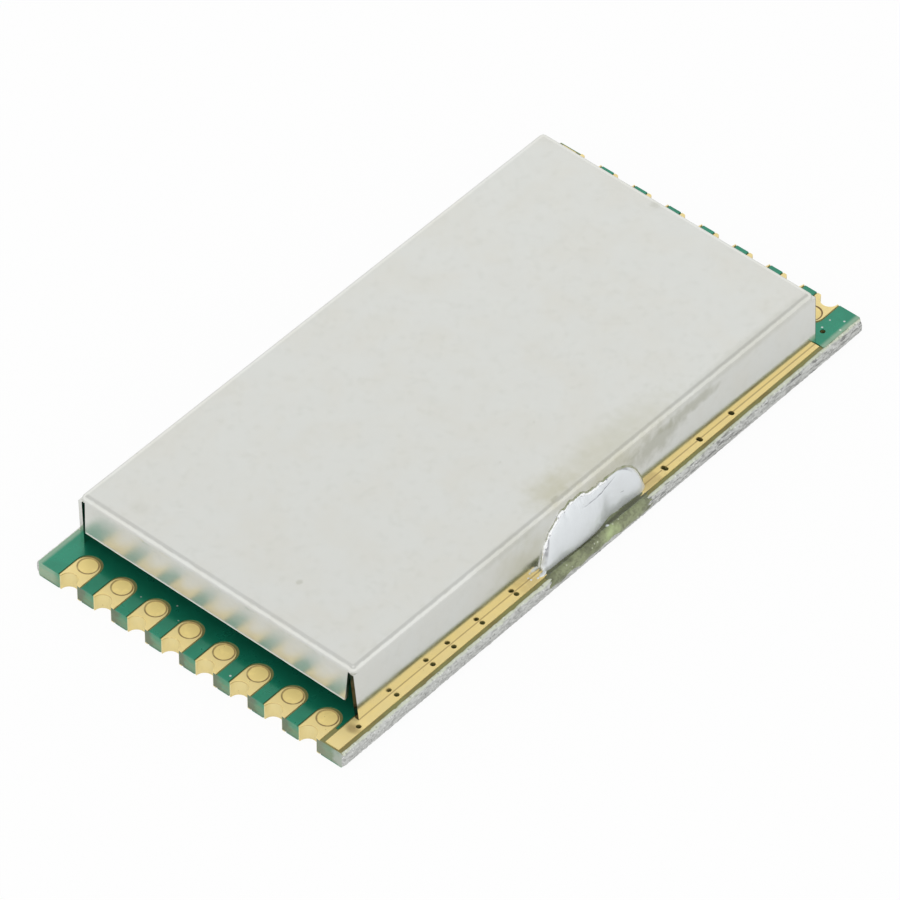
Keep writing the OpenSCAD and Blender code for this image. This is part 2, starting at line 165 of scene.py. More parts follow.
# Painted shade along the crease and the folds in the solder: start, end, sag, half width and share
SOLDER_SHADE_LINES = (
    (CREASE_START, CREASE_END, CREASE_SAG, 0.04, 0.75),
    ((-3.38, 0.25), (-2.62, 2.10), -0.04, 0.10, 0.60),
    ((1.85, 2.14), (2.70, 1.50), -0.10, 0.06, 0.60),
    ((1.74, 0.99), (2.02, 0.92), 0.0, 0.03, 0.60),
)
# Swellings of a joint's foot: place along the wall, width and reach
FOOT_SWELLS = ((-1.35, 0.9, 0.05), (1.0, 0.45, -0.07))
SPATTER_SEED = 11


def colour(name, description, default):
    """A colour that a user would change."""
    return FloatVectorProperty(
        name=name, description=description, subtype="COLOR", size=3, min=0.0, max=1.0, default=default
    )


def length(name, description, default):
    """A length in metres that a user would change."""
    return FloatProperty(
        name=name, description=description, default=default, min=0.0, unit="LENGTH", precision=6
    )


def amount(name, description, default, most=1.0):
    """A plain number that a user would change."""
    return FloatProperty(name=name, description=description, default=default, min=0.0, max=most)


class FinishColours(bpy.types.PropertyGroup):
    """Colours of the finishes, as linear values."""

    mask: colour("Solder mask", "Green lacquer", (0.012, 0.265, 0.155))
    mask_deep: colour("Solder mask, deep", "Green lacquer where it lies thick", (0.010, 0.225, 0.130))
    mask_edge: colour("Solder mask edge", "Pale edge of the lacquer along the cut", (0.58, 0.62, 0.48))
    gold: colour("Gold", "Gold plating on the lands", (0.89, 0.725, 0.328))
    gold_deep: colour("Gold, worn", "Gold plating on the plugged holes", (1.0, 0.80, 0.30))
    # Painted shade in the notches
    gold_notch_shade: colour("Gold, notch", "Duller gold plating inside the notches", (0.74, 0.66, 0.36))
    # Stain and painted shade: rings, foot lines, the band under the lands' edge and the shadow by the can's
    # front end
    gold_stain_and_shade: colour("Gold stain", "Brown line round a plugged hole", (0.20, 0.11, 0.04))
    tin: colour("Tin", "Tin plating of the can", (0.728, 0.738, 0.705))
    tin_warm: colour("Tin, warm", "Clouds in the tin plating", (0.720, 0.718, 0.668))
    # Painted sheen: the long walls' foot painted brighter to lift what they reflect there
    tin_foot_sheen: colour("Tin, foot", "Bright foot of the long walls, wetted by solder", (0.92, 0.90, 0.83))
    tin_heat: colour("Tin, heated", "Warm tint that soldering leaves on the can", (0.47, 0.44, 0.25))
    tin_stain: colour("Tin stain", "Smudges and dried flux on the can", (0.40, 0.40, 0.31))
    # Painted shade: a near-black tone on the near wall's sheared ends and along the walls' foot
    tin_cut_and_shade: colour("Tin, sheared", "Bare sheared ends of the sheet", (0.05, 0.048, 0.04))
    solder: colour("Solder", "Bright solder", (0.745, 0.775, 0.795))
    solder_dull: colour("Solder, dull", "Dull skin on the solder", (0.69, 0.71, 0.725))
    # Painted highlight: the rim's solder painted brighter than the joint
    solder_rim_highlight: colour("Solder, rim", "Bright lumpy rim of the solder", (0.95, 0.96, 0.97))
    # Painted shade in the solder's crease, folds and rim pits
    solder_shade: colour("Solder, dark", "Creases and folds in the solder", (0.15, 0.15, 0.17))
    laminate: colour("Laminate", "Bare glass-fibre laminate", (0.225, 0.222, 0.080))
    laminate_brown: colour("Laminate, brown", "Brown patches in the bare laminate", (0.19, 0.145, 0.05))
    laminate_cut: colour("Laminate, cut", "Smooth cut between the pads", (0.13, 0.29, 0.18))
    laminate_rough: colour("Laminate, torn", "Torn corner beside a notch", (0.13, 0.14, 0.088))
    laminate_grey: colour("Laminate, grey", "Grey cut of the tooth at the near corner", (0.25, 0.27, 0.185))
    fibre: colour("Cut fibre", "Broken glass fibre on the long edges", (0.53, 0.54, 0.52))
    fibre_bright: colour("Cut fibre, bright", "Bright ends of broken fibre", (0.80, 0.81, 0.79))
    fibre_dark: colour("Cut fibre, dark", "Dark strands on the long edges", (0.13, 0.13, 0.125))
    flux: colour("Flux", "Dried flux by the solder", (0.215, 0.245, 0.125))
    # Thick flux, and painted shadow along the solder's foot and below the joint
    flux_thick_and_shadow: colour("Flux, dark", "Thick dried flux", (0.062, 0.068, 0.028))
    flux_pale: colour("Flux, pale", "Thin clear flux", (0.38, 0.47, 0.22))
    resin: colour("Package resin", "Black moulded packages", (0.018, 0.018, 0.020))
    ceramic: colour("Chip ceramic", "Tan body of the chip capacitors", (0.38, 0.27, 0.17))
    coil: colour("Coil body", "Dark body of the chip inductors", (0.055, 0.050, 0.048))
    resistor: colour("Resistor body", "Black top of the chip resistors", (0.025, 0.025, 0.030))


class DetailSizes(bpy.types.PropertyGroup):
    """Sizes of the details that the scene adds to the solids."""

    sheet_round: length("Sheet edge", "Rounding of the can's cut sheet edges", 0.05 * MM)
    plate_round: length("Plating edge", "Rounding of the gold's edges", 0.02 * MM)
    part_round: length("Package edge", "Rounding of the moulded packages", 0.03 * MM)
    score_width: length("Score width", "Width of the bevel that scoring leaves", 0.16 * MM)
    score_depth: length("Score depth", "Depth of the bevel that scoring leaves", 0.2 * MM)
    fibre_depth: length("Fibre depth", "Roughness of the cut long edges", 0.055 * MM)
    fibre_margin: length("Fibre margin", "Reach of loose fibre over the board's face", 0.1 * MM)
    can_turn: FloatProperty(
        name="Can turn", description="Turn of the can on the board", subtype="ANGLE",
        default=math.radians(-0.5),
    )
    rim_lip: length("Rim lip", "Thickness of the solder where it ends on the wall", 0.055 * MM)
    rim_bead: length("Rim bead", "Largest radius of the bright bead along the solder's rim", 0.10 * MM)
    rim_ragged: length("Rim raggedness", "Height of the teeth along the solder's rim", 0.10 * MM)
    crease_depth: length("Crease depth", "Depth of the crease across the solder", 0.022 * MM)
    flux_thickness: length("Flux thickness", "Thickness of the dried flux", 0.03 * MM)
    flux_lead: length("Flux lead", "Distance that the flux starts before the solder's tip", 0.35 * MM)
    flux_tail: length("Flux tail", "Distance that the flux fades over at its far end", 0.9 * MM)
    # Painted shade: the dark line round a joint stands for the shade in the gap at its rim, partly flux
    # stain
    halo: length("Flux halo", "Width of the dark flux line round a joint", 0.12 * MM)
    burr: length("Burr", "Radius of the burr along the end walls' lower edges", 0.027 * MM)
    bead_size: length("Bead size", "Largest radius of a solder bead", 0.06 * MM)
    bead_count: IntProperty(name="Beads", description="Number of solder beads by a joint", default=9, min=0)


class StageSettings(bpy.types.PropertyGroup):
    """Camera, floor and light."""

    camera_place: FloatVectorProperty(
        name="Camera place", description="Place of the camera", subtype="XYZ", unit="LENGTH",
        default=(-0.22089, -0.19035, 0.29365),
    )
    camera_turn: FloatVectorProperty(
        name="Camera turn", description="Turn of the camera", subtype="EULER", unit="ROTATION",
        default=(0.78208, 0.0, -0.8588),
    )
    camera_lens: amount("Lens", "Focal length in millimetres on a 36 mm sensor", 371.0, 1000.0)
    floor_size: length("Floor size", "Side of the floor", 3.0)
    floor_gap: length("Floor gap", "Distance of the floor below the module", 0.01 * MM)
    floor_colour: colour("Floor", "Pale floor", (0.80, 0.80, 0.80))
    floor_shadow: amount("Floor shadow", "Share of the object's shadow that the floor shows", 0.06)
    floor_dim: amount("Floor in metal", "Share of the floor's own shade that reflections show", 0.75)
    sky_low: amount("Sky, low", "Light from the lower sky", 1.07, 5.0)
    sky_ring: amount("Sky, ring", "Light from the dim ring round the zenith", 0.74, 5.0)
    sky_zenith: amount("Sky, zenith", "Light from the zenith", 0.94, 5.0)
    lamp_power: FloatProperty(
        name="Lamp power", description="Power of the soft lamp", default=1.3, min=0.0, unit="POWER"
    )
    lamp_size: length("Lamp size", "Side of the soft lamp", 0.8)
    lamp_place: FloatVectorProperty(
        name="Lamp place", description="Place of the soft lamp", subtype="XYZ", unit="LENGTH",
        default=(-0.45, -0.32, 0.42),
    )


# Shader building

EVEN = (1.0, 1.0, 1.0)
WHITE = (1.0, 1.0, 1.0)
LINE_CORE = 0.4


class Shade:
    """Adds nodes to one tree, sets their values and links what is passed as a socket."""

    def __init__(self, tree):
        self.tree = tree
        self.tree.nodes.clear()

    def feed(self, socket, value):
        """Links a socket, or sets a plain value."""
        if isinstance(value, bpy.types.NodeSocket):
            self.tree.links.new(value, socket)
        elif hasattr(socket.default_value, "__len__") and len(socket.default_value) == 4:
            socket.default_value = (*value, 1.0)
        else:
            socket.default_value = value

    def add(self, kind, inputs=None, **settings):
        """A new node with its settings, and its inputs by name or number."""
        node = self.tree.nodes.new(kind)
        for name, value in settings.items():
            setattr(node, name, value)
        for key, value in (inputs or {}).items():
            self.feed(node.inputs[key], value)
        return node

    def show(self, output, shader):
        """Links a shader to a new output node."""
        self.tree.links.new(shader.outputs[0], self.add(output).inputs["Surface"])

    def math(self, operation, first, second=0.0):
        """A plain operation on one or two values."""
        return self.add("ShaderNodeMath", {0: first, 1: second}, operation=operation).outputs[0]

    def plus(self, first, second):
        """The sum of two values."""
        return self.math("ADD", first, second)

    def minus(self, first, second):
        """One value less another."""
        return self.math("SUBTRACT", first, second)

    def times(self, first, second):
        """The product of two values."""
        return self.math("MULTIPLY", first, second)

    def size(self, value):
        """A value without its sign."""
        return self.math("ABSOLUTE", value)

    def around(self, value, pitch):
        """Distance from the nearest multiple of a pitch, with its sign."""
        half = pitch / 2
        return self.minus(self.math("FLOORED_MODULO", self.plus(value, half), pitch), half)

    def vector(self, operation, first, second):
        """An operation on two vectors."""
        return self.add("ShaderNodeVectorMath", {0: first, 1: second}, operation=operation)

    def step(self, value, start, end):
        """Smooth step from 0 at start to 1 at end."""
        node = self.add(
            "ShaderNodeMapRange", {"Value": value, "From Min": start, "From Max": end},
            interpolation_type="SMOOTHSTEP",
        )
        return node.outputs["Result"]

    def line(self, value, centre, half):
        """1 where a value is at the centre, falling to 0 at half a width from it."""
        return self.step(self.size(self.minus(value, centre)), half, half * LINE_CORE)

    def spread(self, value, low, high):
        """A value between 0 and 1 as one between low and high."""
        node = self.add("ShaderNodeMapRange", {"Value": value, "To Min": low, "To Max": high})
        return node.outputs["Result"]

    def place(self):
        """The place on the object, in millimetres."""
        coordinates = self.add("ShaderNodeTexCoord")
        scaled = self.add("ShaderNodeVectorMath", {0: coordinates.outputs["Object"]}, operation="SCALE")
        scaled.inputs["Scale"].default_value = 1.0 / MM
        return scaled.outputs[0]

    def axes(self):
        """The place on the object as three values, in millimetres."""
        return self.add("ShaderNodeSeparateXYZ", {0: self.place()}).outputs

    def along(self, direction):
        """Distance along a flat direction from the middle of the board, in millimetres."""
        return self.vector("DOT_PRODUCT", self.place(), (*direction, 0.0)).outputs["Value"]

    def effect(self, group, output, **inputs):
        """One output of a shared node group."""
        node = self.add("ShaderNodeGroup", inputs, node_tree=bpy.data.node_groups[group])
        return node.outputs[output]

    def cloud(self, scale, low, high, stretch=EVEN):
        """Mask of clouds or streaks; scale a millimetre, and the heights where it starts and is full."""
        return self.effect("Mottle", "Mask", Scale=scale, Stretch=stretch, Low=low, High=high)

    def grain(self, scale, stretch=EVEN):
        """Height of a grain; scale a millimetre."""
        return self.effect("Mottle", "Height", Scale=scale, Stretch=stretch)

    def specks(self, scale, share, reach):
        """Mask of specks in a share of the cells; scale a millimetre, and reach in cells."""
        return self.effect("Specks", "Mask", Scale=scale, Share=share, Reach=reach)

    def layers(self, tone, *coats):
        """A colour under coats of others, from the lowest up: each a colour, its mask and its share."""
        for colour, mask, share in coats:
            blend = self.add("ShaderNodeMix", data_type="RGBA")
            for number, value in ((0, self.times(mask, share)), (6, tone), (7, colour)):
                self.feed(blend.inputs[number], value)
            tone = blend.outputs[2]
        return tone

    def patches(self, colour, places):
        """Coats of one colour in ragged patches."""
        for centre, reach, ragged, soft, share in places:
            mask = self.effect("Patch", "Mask", Centre=centre, Reach=reach, Ragged=ragged, Soft=soft)
            yield colour, mask, share

    def bump(self, height, strength, distance):
        """A normal from a height; distance in millimetres."""
        inputs = {"Height": height, "Strength": strength, "Distance": distance * MM}
        return self.add("ShaderNodeBump", inputs).outputs["Normal"]


def new_group(name, inputs, outputs):
    """An empty node group with its sockets; returns its builder, its inputs and its output node."""
    tree = bpy.data.node_groups.new(name, "ShaderNodeTree")
    for socket, default in inputs.items():
        kind = "NodeSocketVector" if isinstance(default, tuple) else "NodeSocketFloat"
        tree.interface.new_socket(socket, in_out="INPUT", socket_type=kind).default_value = default
    for socket in outputs:
        tree.interface.new_socket(socket, in_out="OUTPUT", socket_type="NodeSocketFloat")
    shade = Shade(tree)
    return shade, shade.add("NodeGroupInput").outputs, shade.add("NodeGroupOutput")


def build_mottle():
    """Clouds, grain or streaks: a soft mask and the raw height."""
    inputs = {"Scale": 1.0, "Stretch": EVEN, "Low": 0.3, "High": 0.7}
    shade, given, out = new_group("Mottle", inputs, ["Mask", "Height"])
    place = shade.vector("MULTIPLY", shade.place(), given["Stretch"]).outputs[0]
    cloud = shade.add(
        "ShaderNodeTexNoise",
        {"Vector": place, "Scale": given["Scale"], "Detail": 4.0, "Roughness": 0.55},
    )
    height = cloud.outputs["Fac"]
    shade.feed(out.inputs["Mask"], shade.step(height, given["Low"], given["High"]))
    shade.feed(out.inputs["Height"], height)


def build_specks():
    """Scattered small specks."""
    shade, given, out = new_group("Specks", {"Scale": 1.0, "Share": 0.1, "Reach": 0.15}, ["Mask"])
    cells = shade.add("ShaderNodeTexVoronoi", {"Vector": shade.place(), "Scale": given["Scale"]})
    draw = shade.add("ShaderNodeSeparateColor", {0: cells.outputs["Color"]}).outputs[0]
    chosen = shade.math("LESS_THAN", draw, given["Share"])
    core = shade.times(given["Reach"], 0.5)
    near = shade.step(cells.outputs["Distance"], given["Reach"], core)
    shade.feed(out.inputs["Mask"], shade.times(chosen, near))


def build_patch():
    """One ragged patch round a place on the object."""
    inputs = {"Centre": (0.0, 0.0, 0.0), "Reach": EVEN, "Ragged": 0.5, "Soft": 0.4}
    shade, given, out = new_group("Patch", inputs, ["Mask"])
    place = shade.place()
    offset = shade.vector("SUBTRACT", place, given["Centre"]).outputs[0]
    share = shade.vector("DIVIDE", offset, given["Reach"]).outputs[0]
    distance = shade.add("ShaderNodeVectorMath", {0: share}, operation="LENGTH").outputs["Value"]
    cloud = shade.add("ShaderNodeTexNoise", {"Vector": place, "Scale": 1.8, "Detail": 5.0})
    swing = shade.times(shade.spread(cloud.outputs["Fac"], -1.0, 1.0), given["Ragged"])
    inner = shade.minus(1.0, given["Soft"])
    shade.feed(out.inputs["Mask"], shade.step(shade.plus(distance, swing), 1.0, inner))


def new_material(name):
    """An empty material and the builder of its nodes."""
    material = bpy.data.materials.new(name)
    material.use_nodes = True
    return material, Shade(material.node_tree)


def coated(material, shade, inputs):
    """A material with its Principled shader in place."""
    shade.show("ShaderNodeOutputMaterial", shade.add("ShaderNodeBsdfPrincipled", inputs))
    return material


# Finishes

def tinned_finish(colours, can):
    """Tin-plated sheet: faint clouds, smudges, heat tint and dented bends, with painted shade on the near
    wall's sheared ends and along the walls' foot, and a painted sheen low on the long walls.
    """
    material, shade = new_material("tinned_sheet")
    _, _, z = shade.axes()
    rise = shade.minus(z, can.foot)
    near = shade.along(-can.across)
    inner_side = can.side - 0.04
    on_near = shade.step(near, inner_side, can.side)
    on_long = shade.step(shade.size(near), inner_side, can.side)
    # Painted sheen low on the long walls
    wetted = shade.times(on_long, shade.step(rise, *FOOT_SHEEN))
    run = shade.size(shade.minus(shade.along(can.along), can.middle))
    upright_run = shade.minus(run, shade.times(rise, can.taper))
    sheared = shade.times(on_near, shade.step(upright_run, can.run - 0.025, can.run - 0.01))
    tone = shade.layers(
        colours.tin,
        (colours.tin_warm, shade.cloud(scale=0.45, low=0.35, high=0.72), 0.8),
        (colours.tin_stain, shade.cloud(scale=2.2, low=0.50, high=0.72), 0.06),
        *shade.patches(colours.tin_heat, HEAT_TINTS),
        *shade.patches(colours.tin_stain, SMUDGES),
        (colours.tin_stain, shade.specks(scale=1.4, share=0.08, reach=0.06), 0.45),
        # Painted contact shadow along the walls' foot
        (colours.tin_cut_and_shade, shade.step(rise, *FOOT_SHADE_LINE), 0.3),
        (colours.tin_foot_sheen, wetted, 0.8),
        # Painted shade on the near wall's sheared ends
        (colours.tin_cut_and_shade, sheared, 1.0),
    )
    half_run = (can.hem_runs[1] - can.hem_runs[0]) / 2
    on_end = shade.step(run, half_run - 0.12, half_run - 0.04)
    below_top = shade.minus(can.top, z)
    bend = shade.times(shade.step(below_top, *BEND_START), shade.step(below_top, *BEND_END))
    dents = shade.times(bend, shade.spread(shade.grain(scale=1.8), -0.5, 0.5))
    relief = shade.plus(shade.times(shade.grain(scale=5.0), 0.008), dents)
    sheen = shade.spread(shade.cloud(scale=0.8, low=0.3, high=0.7), 0.21, 0.27)
    return coated(material, shade, {
        "Base Color": tone,
        "Metallic": shade.spread(on_end, 1.0, 0.75),
        "Roughness": shade.minus(sheen, shade.times(on_long, 0.10)),
        "Normal": shade.bump(relief, strength=1.0, distance=0.03),
    })


def from_feet(shade, walls):
    """Distances out from the feet of the soldered walls, in millimetres."""
    return [shade.minus(shade.along(wall.outward), wall.foot) for wall in walls.values()]


def gold_finish(colours, can, walls):
    """Gold plating: a ring of stain and painted shade and a worn disc at each plugged hole, painted shade
    under the lands' edge and down the notches, and a painted contact shadow at the can's foot.
    """
    material, shade = new_material("gold_plating")
    x, y, z = shade.axes()
    along = shade.around(shade.minus(y, PAD_PITCH / 2), PAD_PITCH)
    across = shade.minus(shade.size(x), HALF_LENGTH - PLUG_INSET)
    squares = shade.plus(shade.times(along, along), shade.times(across, across))
    radius = shade.math("SQRT", squares)
    on_pad = shade.math("LESS_THAN", shade.size(y), PAD_ROW / 2 - 0.2)
    disc = shade.times(on_pad, shade.step(radius, *WORN_DISC))
    # The ring is partly stain and partly painted shade of the plug's sunk edge, heavier on one side
    ring = shade.times(on_pad, shade.line(radius, PLUG_RADIUS - 0.02, half=0.055))
    lean = shade.spread(shade.step(shade.minus(across, along), -0.6, 0.6), 0.55, 1.0)
    broken = shade.cloud(scale=2.4, low=0.25, high=0.55)
    ring = shade.times(shade.times(ring, lean), shade.spread(broken, 0.55, 0.95))
    run = shade.size(shade.minus(shade.along(can.along), can.middle))
    under_can = shade.step(run, can.run + 0.01, can.run - 0.03)
    # Painted contact shadow along the can's foot on the gold
    feet = [shade.times(under_can, shade.line(out, 0.005, half=0.04)) for out in from_feet(shade, walls)]
    cloud = shade.cloud(scale=1.6, low=0.35, high=0.75)
    tone = shade.layers(
        colours.gold,
        (colours.gold_deep, cloud, 0.35),
        (colours.gold_deep, disc, 0.85),
        (colours.gold_stain_and_shade, ring, 1.0),
        *((colours.gold_stain_and_shade, foot, 0.5) for foot in feet),
        # Painted shadow in a band just below the lands' top edge
        (colours.gold_stain_and_shade, shade.times(shade.line(z, LAND_TOP - 0.06, half=0.05), broken), 0.45),
        # Painted shade down the notches
        (colours.gold_notch_shade, shade.step(z, *NOTCH_SHADE), 0.6),
        *shade.patches(colours.gold_stain_and_shade, GOLD_SHADOW_AND_STAIN),
        (colours.gold_stain_and_shade, shade.specks(scale=3.5, share=0.12, reach=0.12), 0.4),
    )
    grain = shade.grain(scale=9.0, stretch=(1.0, 0.5, 1.0))
    return coated(material, shade, {
        "Base Color": tone,
        "Metallic": shade.spread(disc, 0.3, 0.1),
        "Roughness": shade.spread(cloud, 0.42, 0.50),
        "Normal": shade.bump(grain, strength=0.2, distance=0.012),
    })


def mask_finish(colours):
    """Green lacquer over copper: soft gloss, a faint wave, pale dust and a pale cut edge."""
    material, shade = new_material("solder_mask")
    _, y, _ = shade.axes()
    cloud = shade.cloud(scale=0.9, low=0.3, high=0.7)
    rim = shade.plus(shade.size(y), shade.times(shade.grain(scale=3.0), 0.08))
    tone = shade.layers(
        colours.mask,
        (colours.mask_deep, cloud, 1.0),
        (colours.fibre_bright, shade.specks(scale=1.7, share=0.6, reach=0.12), 0.8),
        (colours.mask_edge, shade.step(rim, *PALE_MASK_EDGE), 0.4),
    )
    return coated(material, shade, {
        "Base Color": tone,
        "Metallic": 0.55,
        "Roughness": shade.spread(cloud, 0.26, 0.34),
        "Normal": shade.bump(shade.grain(scale=2.2), strength=0.25, distance=0.02),
        "Coat Weight": 0.55,
        "Coat Roughness": 0.1,
    })


def laminate_finish(colours):
    """Bare laminate: brown and green patches, and the cut between the pads, torn beside the notches."""
    material, shade = new_material("laminate")
    x, y, z = shade.axes()
    strands = shade.cloud(scale=5.0, low=0.35, high=0.65, stretch=(1.0, 0.25, 2.2))
    swing = shade.spread(shade.grain(scale=3.0), -0.5, 0.5)
    upper = shade.step(shade.plus(z, shade.times(swing, 0.5)), *CUT_GREEN)
    lower = shade.step(shade.plus(z, shade.times(swing, 0.2)), *CUT_FOOT)
    on_far_tooth = shade.step(y, *FAR_TOOTH)
    on_near_tooth = shade.step(y, *NEAR_TOOTH)
    near_corner = shade.step(shade.minus(swing, y), *NEAR_CORNER)
    beside = shade.step(shade.plus(shade.around(y, PAD_PITCH), swing), *TORN_BESIDE_NOTCH)
    cut_tone = shade.layers(
        colours.laminate_cut,
        (colours.laminate, strands, 0.35),
        (colours.mask, upper, 0.6),
        (colours.laminate_rough, shade.times(beside, shade.minus(1.0, on_far_tooth)), 0.8),
        (colours.mask_edge, on_far_tooth, 0.3),
        (colours.laminate_rough, lower, 0.6),
        (colours.laminate_grey, on_near_tooth, 0.6),
        (colours.fibre, near_corner, 0.5),
    )
    patches = shade.cloud(scale=1.1, low=0.42, high=0.66)
    tone = shade.layers(
        colours.laminate,
        (colours.laminate_brown, patches, 0.6),
        (cut_tone, shade.step(shade.size(x), *CUT_END), 1.0),
        (colours.fibre, shade.step(shade.size(y), *CUT_SIDE), 0.75),
    )
    grain = shade.grain(scale=9.0, stretch=(1.0, 0.4, 2.0))
    return coated(material, shade, {
        "Base Color": tone,
        "Roughness": shade.spread(patches, 0.42, 0.6),
        "Normal": shade.bump(grain, strength=0.6, distance=0.03),
    })


def fibre_finish(colours):
    """Rough cut of the long edges: pale broken glass fibre, dark strands and a pale upper border."""
    material, shade = new_material("cut_fibre")
    x, _, z = shade.axes()
    strands = shade.cloud(scale=9.0, low=0.42, high=0.66, stretch=(0.45, 1.0, 1.6))
    streaks = shade.cloud(scale=5.0, low=0.53, high=0.60, stretch=(0.3, 1.0, 2.4))
    torn = shade.times(streaks, shade.spread(shade.step(x, *TORN_STRANDS), 0.2, 1.0))
    wave = shade.spread(shade.grain(scale=2.6, stretch=(0.6, 1.0, 1.0)), -0.12, 0.12)
    tone = shade.layers(
        colours.fibre,
        (colours.fibre_dark, strands, 0.42),
        (colours.fibre_dark, torn, 0.8),
        (colours.mask_edge, shade.step(shade.plus(z, wave), *PALE_FIBRE), 0.8),
        (colours.fibre_dark, shade.specks(scale=7.0, share=0.30, reach=0.40), 0.5),
        (colours.fibre_bright, shade.specks(scale=8.0, share=0.35, reach=0.36), 0.6),
    )
    grain = shade.grain(scale=11.0, stretch=(0.5, 1.0, 1.6))
    return coated(material, shade, {
        "Base Color": tone,
        "Roughness": shade.spread(strands, 0.55, 0.75),
        "Normal": shade.bump(grain, strength=0.6, distance=0.03),
    })


def stroke(shade, run, rise, start, end, sag, half):
    """Mask of a thin bowed line between two places on a face; sag and half its width in millimetres."""
    reach = math.dist(start, end)
    ahead = (end[0] - start[0]) / reach
    up = (end[1] - start[1]) / reach
    from_run = shade.minus(run, start[0])
    from_rise = shade.minus(rise, start[1])
    travel = shade.plus(shade.times(from_run, ahead), shade.times(from_rise, up))
    off = shade.minus(shade.times(from_rise, ahead), shade.times(from_run, up))
    share = shade.math("DIVIDE", travel, reach)
    bow = shade.times(share, shade.minus(1.0, share))
    off = shade.plus(off, shade.times(bow, 4.0 * sag))
    return shade.times(shade.line(off, 0.0, half), shade.line(share, 0.5, half=0.56))


def solder_finish(colours, wall):
    """Bright solder with a dull skin in places, painted shade along its crease and the folds by the rim,
    and fine pits.
    """
    material, shade = new_material("solder")
    _, y, z = shade.axes()
    mirrored = shade.times(shade.math("SIGN", y), -1.0)
    run = shade.minus(shade.times(shade.along(wall.along), mirrored), wall.middle)
    rise = shade.minus(z, wall.floor)
    broken = shade.spread(shade.cloud(scale=3.0, low=0.35, high=0.6), 0.35, 1.0)
    # Painted shade along the crease and the folds
    lines = [
        (colours.solder_shade, shade.times(stroke(shade, run, rise, *shape), broken), share)
        for *shape, share in SOLDER_SHADE_LINES
    ]
    skin = shade.cloud(scale=0.9, low=0.45, high=0.75)
    tone = shade.layers(
        colours.solder,
        (colours.solder_dull, skin, 0.5),
        *lines,
        (colours.tin_stain, shade.specks(scale=3.0, share=0.06, reach=0.12), 0.4),
    )
    return coated(material, shade, {
        "Base Color": tone,
        "Metallic": 0.5,
        "Roughness": shade.spread(skin, 0.34, 0.42),
        "Normal": shade.bump(shade.grain(scale=6.0), strength=0.12, distance=0.015),
    })


def flux_finish(colours, walls):
    """Dried flux: a glossy olive film, pale where it is thin, with painted shadow along the solder's foot
    and in a pool below the joint, partly thick flux.
    """
    material, shade = new_material("dried_flux")
    cloud = shade.cloud(scale=1.4, low=0.42, high=0.70)
    tone = shade.layers(
        colours.flux,
        (colours.flux_thick_and_shadow, cloud, 0.6),
        (colours.flux_thick_and_shadow, shade.cloud(scale=5.0, low=0.46, high=0.62), 0.45),
        *shade.patches(colours.flux_pale, THIN_FLUX),
        (colours.mask_edge, shade.specks(scale=5.0, share=0.22, reach=0.3), 0.6),
        # Painted shadow along the solder's foot
        *((colours.flux_thick_and_shadow, shade.line(out, 0.36, half=0.11), 0.8) for out in from_feet(shade, walls)),
        *shade.patches(colours.flux_thick_and_shadow, FLUX_POOL_AND_SHADOW),
    )
    return coated(material, shade, {
        "Base Color": tone,
        "Roughness": shade.spread(cloud, 0.16, 0.3),
        "Normal": shade.bump(shade.grain(scale=4.0), strength=0.3, distance=0.02),
        "Coat Weight": 0.5,
        "Coat Roughness": 0.12,
    })


def rim_finish(colours):
    """Solder of the lumpy rim painted brighter as a highlight, with painted shade in the pits between the
    lumps.
    """
    material, shade = new_material("solder_rim")
    pits = shade.cloud(scale=7.0, low=0.57, high=0.68)
    return coated(material, shade, {
        # Painted highlight in the rim's tone, with painted shade in the pits between the lumps
        "Base Color": shade.layers(colours.solder_rim_highlight, (colours.solder_shade, pits, 0.8)),
        "Metallic": 0.5,
        "Roughness": shade.spread(pits, 0.2, 0.4),
        "Normal": shade.bump(pits, strength=0.2, distance=0.01),
    })


def halo_finish(colours):
    """Painted shade in the line round a joint, partly flux stain: a dark olive tone clouded with stain."""
    material, shade = new_material("rim_shade_flux")
    cloud = shade.cloud(scale=3.0, low=0.35, high=0.65)
    return coated(material, shade, {
        "Base Color": shade.layers(colours.flux, (colours.tin_stain, cloud, 1.0)),
        "Roughness": shade.spread(cloud, 0.35, 0.6),
        "Normal": shade.bump(cloud, strength=0.3, distance=0.01),
    })


def package_finish(colours):
    """Black moulded resin with a fine matt grain."""
    material, shade = new_material("package_resin")
    cloud = shade.cloud(scale=2.0, low=0.3, high=0.7)
    return coated(material, shade, {
        "Base Color": shade.layers(colours.resin, (colours.coil, cloud, 0.5)),
        "Roughness": shade.spread(cloud, 0.5, 0.62),
        "Normal": shade.bump(shade.grain(scale=14.0), strength=0.4, distance=0.015),
    })


def chip_finish(name, body, colours, axis):
    """A chip part with tinned end caps along one axis."""
    material, shade = new_material(name)
    share = shade.add("ShaderNodeTexCoord").outputs["Generated"]
    along = shade.add("ShaderNodeSeparateXYZ", {0: share}).outputs[axis]
    from_middle = shade.size(shade.minus(along, 0.5))
    wave = shade.grain(scale=5.0)
    caps = shade.step(shade.plus(from_middle, shade.times(wave, 0.03)), *CHIP_CAPS)
    cloud = shade.cloud(scale=3.0, low=0.3, high=0.7)
    return coated(material, shade, {
        "Base Color": shade.layers(body, (colours.coil, cloud, 0.3), (colours.solder, caps, 1.0)),
        "Metallic": caps,
        "Roughness": shade.spread(cloud, 0.32, 0.45),
        "Normal": shade.bump(wave, strength=0.2, distance=0.02),
    })


# Mesh building

def dress(names, material):
    """Gives CAD nodes a finish."""
    for name in names:
        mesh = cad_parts[name].data
        mesh.materials.clear()
        mesh.materials.append(material)


